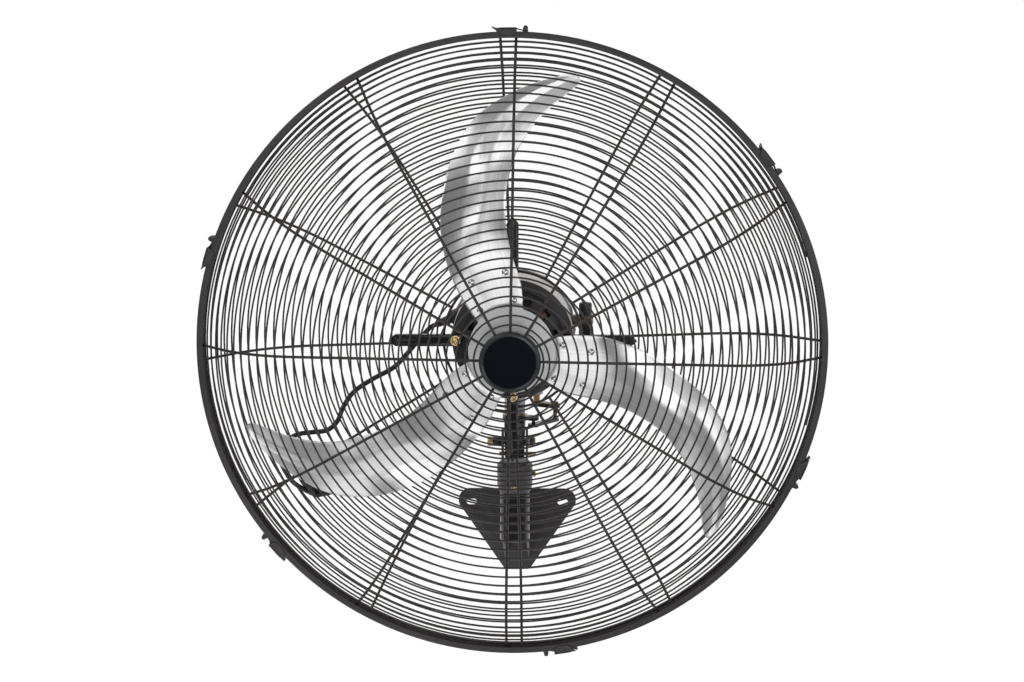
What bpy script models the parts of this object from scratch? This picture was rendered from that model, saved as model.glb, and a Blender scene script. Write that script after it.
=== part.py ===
# Oscillating wall fan: three swept blades in a wire guard, on a bracket that tilts and swings.
# Metres. The origin is the middle of the wall plate's back face, +Y runs into the wall, +Z is up,
# and the fan blows towards -Y. Pieces of the head are modelled about the fan's own centre, which
# is the middle of the rim, with +Y running back along the shaft.
import math

import bmesh
import bpy
from mathutils import Matrix, Vector

# Driving dimensions
WALL_DISTANCE = 0.385
PIVOT_BACK = 0.215
AXIS_HEIGHT = 0.345
TILT_DROP = 0.169
GUARD_RADIUS = 0.400
FRONT_DEPTH = 0.071
FRONT_BEND_RUN = 0.124
REAR_DEPTH = 0.087
REAR_BEND_RUN = 0.128
GUARD_MOUTH_INSET = 0.010
WIRE_DIAMETER = 0.0024
SPOKE_DIAMETER = 0.004
FRONT_PITCH = 0.0118
REAR_PITCH = 0.0120
BLADE_TIP_GAP = 0.0285
BLADE_SHEET = 0.0018
SHAFT_RADIUS = 0.006
MOTOR_RADIUS = 0.080
MOTOR_SKIRT_RADIUS = 0.085
MOTOR_FRONT = 0.072
MOTOR_REAR = 0.199
POST_RADIUS = 0.0212
POST_WALL = 0.003
CORD_DIAMETER = 0.0066
CLEARANCE = 0.0003
RUNNING_GAP = 0.0008
OVERRUN = 0.004

# Counts and angles
SPOKES = 12
BLADES = 3
FINE_STEPS = 36
ROUND_STEPS = 18
PIN_STEPS = 8

# Worked out from the driving dimensions: the guards' and blades' radii, and the tilt axis
guard_mouth_radius = GUARD_RADIUS - GUARD_MOUTH_INSET
front_face_radius = guard_mouth_radius - FRONT_BEND_RUN
rear_face_radius = guard_mouth_radius - REAR_BEND_RUN
blade_tip_radius = GUARD_RADIUS - BLADE_TIP_GAP
tilt_place = Vector((0, PIVOT_BACK - WALL_DISTANCE, AXIS_HEIGHT - TILT_DROP))

for thing in list(bpy.data.objects):
    bpy.data.objects.remove(thing, do_unlink=True)


# Materials
def finish(name, colour, roughness, metallic):
    made = bpy.data.materials.new(name)
    made.use_nodes = True
    shader = made.node_tree.nodes["Principled BSDF"]
    shader.inputs["Base Color"].default_value = (*colour, 1)
    shader.inputs["Roughness"].default_value = roughness
    shader.inputs["Metallic"].default_value = metallic
    made.diffuse_color = (*colour, 1)
    return made


black_coat = finish("black_powder_coat", (0.022, 0.020, 0.021), 0.45, 0)
grey_coat = finish("charcoal_coat", (0.055, 0.054, 0.058), 0.5, 0)
gloss_black = finish("gloss_black", (0.01, 0.01, 0.01), 0.25, 0)
plastic_black = finish("black_plastic", (0.012, 0.013, 0.018), 0.4, 0)
cast_grey = finish("cast_aluminium", (0.42, 0.42, 0.43), 0.5, 0.8)
bare_steel = finish("bare_steel", (0.62, 0.61, 0.60), 0.35, 1)
brushed = finish("brushed_aluminium", (0.80, 0.80, 0.81), 0.32, 1)
yellow_zinc = finish("yellow_zinc", (0.75, 0.55, 0.22), 0.3, 1)
copper = finish("enamelled_copper", (0.32, 0.04, 0.02), 0.35, 0.4)
laminations = finish("core_steel", (0.28, 0.28, 0.30), 0.5, 0.9)
bronze = finish("bronze", (0.55, 0.36, 0.16), 0.4, 1)
rubber = finish("cord_rubber", (0.015, 0.015, 0.016), 0.6, 0)


# Modelling helpers
def place(name, shape, material, parent=None, location=(0, 0, 0), turn=None, smooth=True):
    # a bmesh or a mesh becomes one named object
    if isinstance(shape, bmesh.types.BMesh):
        bmesh.ops.recalc_face_normals(shape, faces=shape.faces)
        mesh = bpy.data.meshes.new(name)
        shape.to_mesh(mesh)
        shape.free()
        mesh.materials.append(material)
        if smooth:
            mesh.shade_smooth()
            mesh.set_sharp_from_angle(angle=math.radians(35))
    else:
        mesh = shape
    made = bpy.data.objects.new(name, mesh)
    bpy.context.scene.collection.objects.link(made)
    made.parent = parent
    made.location = location
    if turn is not None:
        made.rotation_euler = turn
    return made


def empty(name, location, parent=None):
    made = bpy.data.objects.new(name, None)
    bpy.context.scene.collection.objects.link(made)
    made.location = location
    made.parent = parent
    return made


def boolean(target, shape, operation, name):
    # the second shape is kept in the scene as a wire guide, in the target's own space
    guide = place(name, shape, target.data.materials[0], smooth=False)
    guide.parent = target
    guide.hide_render = True
    guide.display_type = "WIRE"
    step = target.modifiers.new(name, "BOOLEAN")
    step.operation = operation
    step.object = guide
    step.solver = "EXACT"
    return guide


def cut(target, shape, name):
    return boolean(target, shape, "DIFFERENCE", name)


def weld(target, shape, name):
    return boolean(target, shape, "UNION", name)


def lathe(outline, steps, axis="Y"):
    # turns a closed outline of (radius, place along the axis) points
    shape = bmesh.new()
    along = Vector((0, 1, 0)) if axis == "Y" else Vector((0, 0, 1))
    corners = [shape.verts.new(Vector((radius, 0, 0)) + along * far) for radius, far in outline]
    edges = [shape.edges.new((a, b)) for a, b in zip(corners, corners[1:] + corners[:1])]
    bmesh.ops.spin(shape, geom=corners + edges, axis=along, cent=(0, 0, 0),
                   angle=math.tau, steps=steps, use_merge=True)
    bmesh.ops.remove_doubles(shape, verts=shape.verts, dist=CLEARANCE / 100)
    bmesh.ops.dissolve_degenerate(shape, edges=shape.edges, dist=CLEARANCE / 100)
    for edge in [edge for edge in shape.edges if not edge.link_faces]:
        shape.edges.remove(edge)
    for edge in [edge for edge in shape.edges if len(edge.link_faces) > 2]:
        raise ValueError("the outline folds onto the axis")
    return shape


def rod(radius, low, high, steps, axis="Y", chamfer=0):
    outline = [(0, low), (radius - chamfer, low), (radius, low + chamfer),
               (radius, high - chamfer), (radius - chamfer, high), (0, high)]
    if not chamfer:
        outline = [(0, low), (radius, low), (radius, high), (0, high)]
    return lathe(outline, steps, axis)


def prism(outline, low, high, axis="Y"):
    # a flat outline of (across, up) points, run from low to high along the axis
    spots = {
        "X": lambda u, v, w: (w, u, v),
        "Y": lambda u, v, w: (u, w, v),
        "Z": lambda u, v, w: (u, v, w),
    }[axis]
    shape = bmesh.new()
    near = [shape.verts.new(spots(u, v, low)) for u, v in outline]
    face = shape.faces.new(near)
    grown = bmesh.ops.extrude_face_region(shape, geom=[face])
    moved = [item for item in grown["geom"] if isinstance(item, bmesh.types.BMVert)]
    bmesh.ops.translate(shape, verts=moved, vec=spots(0, 0, high - low))
    return shape


def merged(shapes):
    # several apart bodies in one bmesh, for cutters and for shapes that a union joins
    whole = bmesh.new()
    for shape in shapes:
        bmesh.ops.recalc_face_normals(shape, faces=shape.faces)
        mesh = bpy.data.meshes.new("piece")
        shape.to_mesh(mesh)
        shape.free()
        whole.from_mesh(mesh)
        bpy.data.meshes.remove(mesh)
    return whole


def shifted(shape, offset=(0, 0, 0), turn=0, axis="Y"):
    matrix = Matrix.Translation(offset) @ Matrix.Rotation(turn, 4, axis)
    bmesh.ops.transform(shape, matrix=matrix, verts=shape.verts)
    return shape


def arc(centre, radius, start, stop, steps):
    # points of an arc in the plane of an outline, angles in degrees
    spread = [start + (stop - start) * step / steps for step in range(steps + 1)]
    return [(centre[0] + radius * math.cos(math.radians(angle)),
             centre[1] + radius * math.sin(math.radians(angle))) for angle in spread]


def clock(radius, angle, back=0):
    # a point seen from the front: the angle runs clockwise from the top, in degrees
    return Vector((radius * math.sin(math.radians(angle)), back,
                   radius * math.cos(math.radians(angle))))


def sweep(points, radius, sides, ups, closed=False, phase=0):
    # a bar along points, each with its own up direction, with flat ends unless it closes
    shape = bmesh.new()
    rings = []
    count = len(points)
    for index, (point, up) in enumerate(zip(points, ups)):
        before = points[index - 1] if index or closed else points[0]
        after = points[(index + 1) % count] if index < count - 1 or closed else points[-1]
        along = (after - before).normalized()
        side = along.cross(up).normalized()
        rise = side.cross(along).normalized()
        ring = []
        for step in range(sides):
            angle = phase + math.tau * step / sides
            ring.append(shape.verts.new(
                point + side * (radius * math.cos(angle)) + rise * (radius * math.sin(angle))))
        rings.append(ring)
    pairs = list(zip(rings, rings[1:]))
    if closed:
        pairs.append((rings[-1], rings[0]))
    for first, second in pairs:
        for step in range(sides):
            nxt = (step + 1) % sides
            shape.faces.new((first[step], first[nxt], second[nxt], second[step]))
    if not closed:
        shape.faces.new(rings[0])
        shape.faces.new(rings[-1])
    return shape


def turning_bore(radius, steps):
    # a bore whose flats stay clear of a faceted pin at any turn
    return (radius + CLEARANCE) / math.cos(math.pi / steps)


def hexagon(across_flats):
    corner = across_flats / math.sqrt(3)
    return [(corner * math.cos(math.tau * side / 6), corner * math.sin(math.tau * side / 6))
            for side in range(6)]


# Joint axes
tilt_axis = empty("tilt_axis", tilt_place)
swing_axis = empty("swing_axis", (0, 0, TILT_DROP), tilt_axis)
fan_centre = empty("fan_centre", (0, -PIVOT_BACK, 0), swing_axis)
spin_axis = empty("spin_axis", (0, 0, 0), fan_centre)


# Wall plate, seen from the front as across and up from the origin
plate_thickness = 0.004
lobe_across = 0.071
lobe_up = 0.044
lobe_radius = 0.018
foot_half_width = 0.0215
foot_up = -0.065
foot_corner_radius = 0.006
slot_across = 0.069
slot_up = 0.041
slot_width = 0.0095
slot_length = 0.0165


def slot_outline(length, width, steps=6):
    straight = (length - width) / 2
    right = arc((straight, 0), width / 2, -90, 90, steps)
    left = arc((-straight, 0), width / 2, 90, 270, steps)
    return right + left


def wall_plate():
    corner_across = foot_half_width - foot_corner_radius
    corner_up = foot_up + foot_corner_radius
    run = Vector((lobe_across - corner_across, lobe_up - corner_up))
    tangent = math.degrees(math.asin((lobe_radius - foot_corner_radius) / run.length))
    lean = math.degrees(math.atan2(run.y, run.x)) - 90 + tangent
    right = arc((corner_across, corner_up), foot_corner_radius, -90, lean, 3)
    right += arc((lobe_across, lobe_up), lobe_radius, lean, 90, 8)
    left = [(-across, up) for across, up in reversed(right)]
    plate = place("wall_plate", prism(right + left, -plate_thickness, 0), grey_coat, smooth=False)
    slots = []
    for side in (-1, 1):
        hole = prism(slot_outline(slot_length, slot_width), -plate_thickness - OVERRUN, OVERRUN)
        slots.append(shifted(hole, (side * slot_across, 0, slot_up)))
    cut(plate, merged(slots), "wall_plate_slots")
    return plate


# Post, clamp sleeve and bracket arm
post_top_drop = 0.0345
post_bottom_drop = 0.143
sleeve_radius = 0.025
sleeve_bottom_drop = 0.071
sleeve_neck_radius = 0.0225
sleeve_shoulder = 0.004
sleeve_cap = 0.0052
cheek_inside = 0.0155
cheek_thickness = 0.003
cheek_radius = 0.019
tilt_bolt_radius = 0.005
stop_screw_radius = 0.003
stop_screw_drop = 0.018
stop_slot_width = 0.0068
tilt_down_limit = 25
tilt_up_limit = 5


def post_tube():
    # a round tube with a closed foot
    inner = POST_RADIUS - POST_WALL
    top = -post_top_drop
    foot = -post_bottom_drop
    soft = POST_WALL / 2
    outline = [(0, foot), (POST_RADIUS - soft, foot), (POST_RADIUS, foot + soft),
               (POST_RADIUS, top), (inner, top), (inner, foot + POST_WALL), (0, foot + POST_WALL)]
    return place("post_tube", lathe(outline, ROUND_STEPS, "Z"), grey_coat, tilt_axis)


def clamp_sleeve():
    # a cap over the post that carries the two cheeks of the tilt joint
    bore = POST_RADIUS + CLEARANCE
    top = -post_top_drop + CLEARANCE + sleeve_cap
    foot = -sleeve_bottom_drop
    outline = [(0, top), (sleeve_radius - sleeve_shoulder, top),
               (sleeve_radius, top - sleeve_shoulder),
               (sleeve_radius, foot + sleeve_shoulder * 2), (sleeve_neck_radius, foot),
               (bore, foot), (bore, -post_top_drop + CLEARANCE), (0, -post_top_drop + CLEARANCE)]
    sleeve = place("clamp_sleeve", lathe(outline, ROUND_STEPS, "Z"), grey_coat, tilt_axis)
    cheek_shapes = []
    for side in (-1, 1):
        flank = [(-cheek_radius, top - sleeve_shoulder), (cheek_radius, top - sleeve_shoulder)]
        flank += arc((0, 0), cheek_radius, 0, 180, 9)
        low = cheek_inside if side > 0 else -cheek_inside - cheek_thickness
        cheek_shapes.append(prism(flank, low, low + cheek_thickness, "X"))
    weld(sleeve, merged(cheek_shapes), "clamp_sleeve_cheeks")
    # bolt hole and the curved slot of the stop screw, through both cheeks
    reach = cheek_inside + cheek_thickness + OVERRUN
    hole = rod(tilt_bolt_radius + CLEARANCE, -reach, reach, PIN_STEPS, "Y")
    shifted(hole, turn=math.radians(-90), axis="Z")
    half = math.degrees(math.asin(stop_slot_width / 2 / stop_screw_drop))
    outer = stop_screw_drop + stop_slot_width / 2
    inner = stop_screw_drop - stop_slot_width / 2
    # a tilt down carries the screw towards the wall
    ends = (-90 - tilt_up_limit - half, -90 + tilt_down_limit + half)
    curve = arc((0, 0), outer, ends[0], ends[1], 5) + arc((0, 0), inner, ends[1], ends[0], 5)
    slot = prism(curve, -reach, reach, "X")
    cut(sleeve, merged([hole, slot]), "clamp_sleeve_holes")
    # threaded holes of the two clamp screws
    side_hole = shifted(rod(clamp_screw["radius"] + CLEARANCE, bore - OVERRUN / 2,
                            sleeve_radius + OVERRUN, PIN_STEPS),
                        (0, 0, -clamp_screw["side_drop"]), math.radians(-90), "Z")
    front_hole = shifted(rod(clamp_screw["radius"] + CLEARANCE, bore - OVERRUN / 2,
                             sleeve_radius + OVERRUN, PIN_STEPS),
                         (0, 0, -clamp_screw["front_drop"]), math.radians(180), "Z")
    cut(sleeve, merged([side_hole, front_hole]), "clamp_sleeve_screw_holes")
    return sleeve


clamp_screw = {
    "radius": 0.003,
    "head_radius": 0.0048,
    "head_height": 0.0036,
    "head_stand": 0.0012,
    "front_drop": 0.061,
    "side_drop": 0.047,
}


def clamp_screws():
    tip = POST_RADIUS + CLEARANCE * 2
    seat = sleeve_radius + clamp_screw["head_stand"]
    top = seat + clamp_screw["head_height"]
    soft = clamp_screw["head_height"] / 3
    outline = [(0, tip), (clamp_screw["radius"], tip), (clamp_screw["radius"], seat),
               (clamp_screw["head_radius"], seat), (clamp_screw["head_radius"], top - soft),
               (clamp_screw["head_radius"] - soft, top), (0, top)]
    for name, drop, turn in (("clamp_screw_front", clamp_screw["front_drop"], 180),
                             ("clamp_screw_side", clamp_screw["side_drop"], -90)):
        place(name, lathe(outline, PIN_STEPS), yellow_zinc, tilt_axis, (0, 0, -drop),
              (0, 0, math.radians(turn)))


bracket_arm_values = {
    "half_width": 0.019,
    "sheet": 0.003,
    "web_top_at_post": 0.100,
    "web_top_at_plate": 0.156,
    "flange_height_at_post": 0.036,
    "flange_height_at_plate": 0.066,
}


def bracket_arm():
    # a folded channel, open below, from the post down to the plate
    values = bracket_arm_values
    half = values["half_width"]
    sheet = values["sheet"]
    far = WALL_DISTANCE - PIVOT_BACK - plate_thickness - CLEARANCE
    near = 0
    slope = (values["web_top_at_plate"] - values["web_top_at_post"]) / far
    top_near = -values["web_top_at_post"]
    top_far = -values["web_top_at_plate"]
    low_near = top_near - values["flange_height_at_post"]
    low_far = top_far - values["flange_height_at_plate"]
    side = [(near, low_near), (far, low_far), (far, top_far), (near, top_near)]
    arm = place("bracket_arm", prism(side, -half, half, "X"), grey_coat, tilt_axis, smooth=False)
    drop = sheet * math.sqrt(1 + slope * slope)
    hollow = [(near - OVERRUN, low_near - half), (far + OVERRUN, low_far - half),
              (far + OVERRUN, top_far - drop - slope * OVERRUN),
              (near - OVERRUN, top_near - drop + slope * OVERRUN)]
    cut(arm, prism(hollow, sheet - half, half - sheet, "X"), "bracket_arm_hollow")
    saddle = rod(POST_RADIUS + CLEARANCE, -post_bottom_drop - half * 3, 0, ROUND_STEPS, "Z")
    front = prism([(-half * 2, -half * 12), (0, -half * 12), (0, 0), (-half * 2, 0)],
                  -half * 2, half * 2, "X")
    cut(arm, saddle, "bracket_arm_saddle")
    cut(arm, front, "bracket_arm_front")
    return arm


# Tilt bolt with its washer and clamp nut
tilt_bolt_values = {
    "head_flats": 0.013,
    "head_height": 0.0075,
    "left_stand": 0.0125,
    "spacer_radius": 0.0075,
    "washer_radius": 0.0085,
    "washer_thickness": 0.002,
    "nut_height": 0.0065,
    "end_stand": 0.0015,
}


def tilt_fastening():
    values = tilt_bolt_values
    face = cheek_inside + cheek_thickness
    left = face + values["left_stand"]
    washer_end = face + CLEARANCE + values["washer_thickness"]
    nut_end = washer_end + CLEARANCE + values["nut_height"]
    end = nut_end + values["end_stand"]
    outline = [(0, -left), (tilt_bolt_radius, -left), (tilt_bolt_radius, end), (0, end)]
    shank = shifted(lathe(outline, PIN_STEPS), turn=math.radians(-90), axis="Z")
    bolt = place("tilt_bolt", shank, yellow_zinc, tilt_axis)
    head = prism(hexagon(values["head_flats"]), -left - values["head_height"], -left + CLEARANCE, "X")
    weld(bolt, head, "tilt_bolt_head")
    bore = tilt_bolt_radius + CLEARANCE
    spacer = [(bore, -left + CLEARANCE * 2), (values["spacer_radius"], -left + CLEARANCE * 2),
              (values["spacer_radius"], -face - CLEARANCE), (bore, -face - CLEARANCE)]
    place("tilt_spacer", shifted(lathe(spacer, PIN_STEPS), turn=math.radians(-90), axis="Z"),
          gloss_black, tilt_axis)
    nut = place("tilt_nut", prism(hexagon(values["head_flats"]), washer_end + CLEARANCE, nut_end, "X"),
                yellow_zinc, tilt_axis, smooth=False)
    washer = [(bore, face + CLEARANCE), (values["washer_radius"], face + CLEARANCE),
              (values["washer_radius"], washer_end), (bore, washer_end)]
    place("tilt_washer", shifted(lathe(washer, PIN_STEPS), turn=math.radians(-90), axis="Z"),
          bare_steel, tilt_axis)
    hole = shifted(rod(bore, washer_end - OVERRUN, nut_end + OVERRUN, PIN_STEPS),
                   turn=math.radians(-90), axis="Z")
    cut(nut, hole, "tilt_nut_hole")


wall_plate()
post_tube()
clamp_sleeve()
clamp_screws()
bracket_arm()
tilt_fastening()


# Neck: it tilts between the cheeks and carries the head's upright pivot pin
neck = {
    "half_width": 0.0135,
    "foot_radius": 0.024,
    "half_depth": 0.0165,
    "plate_radius": 0.0175,
    "plate_top": 0.0388,
    "plate_bottom": 0.030,
    "pin_radius": 0.008,
    "pin_top": 0.072,
    "stop_screw_reach": 0.030,
    "ear_radius": 0.0075,
    "ear_thickness": 0.005,
    "ear_x": 0.0263,
    "ear_y": -0.0134,
    "ear_pin_radius": 0.0025,
    "ear_pin_reach": 0.0060,
    "washer_radius": 0.0145,
    "washer_thickness": 0.0015,
}


def neck_block():
    half = neck["half_width"]
    deep = neck["half_depth"]
    foot = neck["foot_radius"]
    turn = math.degrees(math.acos(deep / foot))
    side = arc((0, 0), foot, -180 + turn, -turn, 10)
    side += [(deep, neck["plate_bottom"]), (-deep, neck["plate_bottom"])]
    block = place("neck_block", prism(side, -half, half, "X"), grey_coat, tilt_axis)
    # top plate, with a waist that blends into the block, and the pivot pin above it
    soft = neck["plate_radius"] / 12
    outline = [(0, 0), (half, 0), (half, neck["plate_bottom"]),
               (neck["plate_radius"] - soft, neck["plate_bottom"]),
               (neck["plate_radius"], neck["plate_bottom"] + soft),
               (neck["plate_radius"], neck["plate_top"]), (neck["pin_radius"], neck["plate_top"]),
               (neck["pin_radius"], neck["pin_top"] - soft), (neck["pin_radius"] - soft, neck["pin_top"]),
               (0, neck["pin_top"])]
    weld(block, lathe(outline, ROUND_STEPS, "Z"), "neck_block_top")
    # the ear that the oscillation link hangs on
    low = neck["plate_top"] - neck["ear_thickness"]
    along = math.degrees(math.atan2(neck["ear_y"], neck["ear_x"]))
    reach = math.hypot(neck["ear_x"], neck["ear_y"])
    round_end = arc((reach, 0), neck["ear_radius"], -90, 90, 8)
    ear = prism([(0, -neck["ear_radius"])] + round_end + [(0, neck["ear_radius"])],
                low, neck["plate_top"], "Z")
    weld(block, shifted(ear, turn=math.radians(along), axis="Z"), "neck_block_ear")
    pin = rod(neck["ear_pin_radius"], low - neck["ear_pin_reach"], low + CLEARANCE, PIN_STEPS, "Z")
    weld(block, shifted(pin, (neck["ear_x"], neck["ear_y"], 0)), "neck_block_ear_pin")
    # cross holes for the tilt bolt and the stop screw
    bolt_bore = turning_bore(tilt_bolt_radius, PIN_STEPS)
    bolt_hole = rod(bolt_bore, -half - OVERRUN, half + OVERRUN, PIN_STEPS)
    shifted(bolt_hole, turn=math.radians(-90), axis="Z")
    screw_hole = rod(stop_screw_radius + CLEARANCE, -half - OVERRUN, half + OVERRUN, PIN_STEPS)
    shifted(screw_hole, (0, 0, -stop_screw_drop), math.radians(-90), "Z")
    cut(block, merged([bolt_hole, screw_hole]), "neck_block_holes")
    # the stop screw rides in the curved slots of the cheeks
    left = -cheek_inside - cheek_thickness - OVERRUN
    screw = shifted(rod(stop_screw_radius, left, neck["stop_screw_reach"], PIN_STEPS,
                        chamfer=stop_screw_radius / 4), turn=math.radians(-90), axis="Z")
    place("tilt_stop_screw", screw, yellow_zinc, tilt_axis, (0, 0, -stop_screw_drop))
    seat = neck["plate_top"] + CLEARANCE
    ring = [(neck["pin_radius"] + CLEARANCE, seat), (neck["washer_radius"], seat),
            (neck["washer_radius"], seat + neck["washer_thickness"]),
            (neck["pin_radius"] + CLEARANCE, seat + neck["washer_thickness"])]
    place("thrust_washer", lathe(ring, ROUND_STEPS, "Z"), bronze, tilt_axis)


# Gearbox, about the fan's centre: +Y runs back along the shaft
gear = {
    "front": MOTOR_REAR + CLEARANCE,
    "flange_radius": 0.046,
    "flange_thickness": 0.006,
    "leg_radius": 0.0145,
    "leg_top_radius": 0.0155,
    "crank_x": 0.0302,
    "crank_y": 0.0363,
    "half_height": 0.019,
    "wall": 0.004,
    "worm_radius": 0.0072,
    "wheel_half": 0.006,
    "tooth_depth": 0.0018,
    "teeth": 28,
    "crank_shaft_radius": 0.005,
    "crank_post_radius": 0.0095,
    "crank_post_bottom": -0.108,
    "shaft_end": 0.268,
    "cover_thickness": 0.003,
    "knob_shaft_radius": 0.003,
}
crank_back = PIVOT_BACK + gear["crank_y"]
wheel_radius = gear["crank_x"] - gear["worm_radius"] - CLEARANCE
leg_bottom = -TILT_DROP + neck["plate_top"] + neck["washer_thickness"] + CLEARANCE * 2


def gearbox():
    high = gear["half_height"]
    chamber = wheel_radius + CLEARANCE * 3
    outer = chamber + gear["wall"]
    left = -gear["worm_radius"] - gear["wall"] * 3
    back = gear["shaft_end"] + gear["wall"] * 2
    # the housing seen from above: square about the worm, round about the wheel
    round_side = arc((gear["crank_x"], crank_back), outer, -70, 90, 12)
    plan = [(left, gear["front"]), (gear["flange_radius"] / 2, gear["front"])] + round_side
    plan += [(left + gear["wall"], max(back, crank_back + outer)),
             (left, max(back, crank_back + outer) - gear["wall"])]
    case = place("gearbox_case", prism(plan, -high, high, "Z"), cast_grey, fan_centre)
    flange = rod(gear["flange_radius"], gear["front"], gear["front"] + gear["flange_thickness"],
                 ROUND_STEPS, chamfer=gear["wall"] / 4)
    weld(case, flange, "gearbox_case_flange")
    # the leg turns on the neck's pin
    leg = [(0, leg_bottom), (gear["leg_radius"], leg_bottom),
           (gear["leg_radius"], -high * 2.6), (gear["leg_top_radius"], -high), (0, -high)]
    weld(case, shifted(lathe(leg, ROUND_STEPS, "Z"), (0, PIVOT_BACK, 0)), "gearbox_case_leg")
    post = [(0, gear["crank_post_bottom"]), (gear["crank_post_radius"], gear["crank_post_bottom"]),
            (gear["crank_post_radius"], -high), (0, -high)]
    weld(case, shifted(lathe(post, PIN_STEPS, "Z"), (gear["crank_x"], crank_back, 0)),
         "gearbox_case_crank_post")
    web = prism([(0, 0), (math.hypot(gear["crank_x"], gear["crank_y"]), 0),
                 (math.hypot(gear["crank_x"], gear["crank_y"]), gear["wall"]), (0, gear["wall"])],
                gear["crank_post_bottom"] + gear["wall"] * 2, -high + CLEARANCE, "Z")
    shifted(web, (0, -gear["wall"] / 2, 0))
    shifted(web, (0, PIVOT_BACK, 0), math.atan2(gear["crank_y"], gear["crank_x"]), "Z")
    weld(case, web, "gearbox_case_web")
    # spaces for the pivot pin, the worm, the wheel and the crank shaft
    pin = rod(neck["pin_radius"] + CLEARANCE, leg_bottom - OVERRUN,
              -TILT_DROP + neck["pin_top"] + CLEARANCE, ROUND_STEPS, "Z")
    shifted(pin, (0, PIVOT_BACK, 0))
    cut(case, pin, "gearbox_case_pin_bore")
    wheel = rod(chamber, -gear["wheel_half"] - RUNNING_GAP, high + OVERRUN, ROUND_STEPS, "Z")
    shifted(wheel, (gear["crank_x"], crank_back, 0))
    cut(case, wheel, "gearbox_case_wheel_space")
    worm = rod(gear["worm_radius"] + RUNNING_GAP, gear["front"] - OVERRUN,
               gear["shaft_end"] + RUNNING_GAP, PIN_STEPS)
    cut(case, worm, "gearbox_case_worm_bore")
    shaft = rod(turning_bore(gear["crank_shaft_radius"], PIN_STEPS),
                gear["crank_post_bottom"] - OVERRUN, 0, PIN_STEPS, "Z")
    shifted(shaft, (gear["crank_x"], crank_back, 0))
    cut(case, shaft, "gearbox_case_crank_bore")
    # lid over the wheel, with the hole of the clutch knob
    lid = prism(arc((gear["crank_x"], crank_back), outer, 0, 345, 23), high + CLEARANCE,
                high + CLEARANCE + gear["cover_thickness"], "Z")
    cover = place("gearbox_cover", lid, cast_grey, fan_centre)
    hole = rod(gear["knob_shaft_radius"] + CLEARANCE, high - OVERRUN, high + OVERRUN * 2,
               PIN_STEPS, "Z")
    cut(cover, shifted(hole, (gear["crank_x"], crank_back, 0)), "gearbox_cover_hole")


# Oscillation drive: worm wheel and crank, the link, and the clutch knob
crank = {
    "arm_half_width": 0.007,
    "arm_top": 0.0495,
    "arm_bottom": 0.0435,
    "pin_radius": 0.003,
    "pin_bottom": 0.0235,
    "link_half_width": 0.0058,
    "link_top": 0.0283,
    "link_bottom": 0.0245,
    "eye_outer": 0.0078,
    "boss_radius": 0.0052,
    "screw_radius": 0.0048,
    "screw_height": 0.003,
}
# the crank stays parallel to the neck's ear, so the drive is a parallelogram
crank_throw = math.hypot(neck["ear_x"], neck["ear_y"])
crank_angle = math.atan2(neck["ear_y"], neck["ear_x"])
link_length = math.hypot(gear["crank_x"], gear["crank_y"])
link_angle = math.atan2(-gear["crank_y"], -gear["crank_x"])


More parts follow.
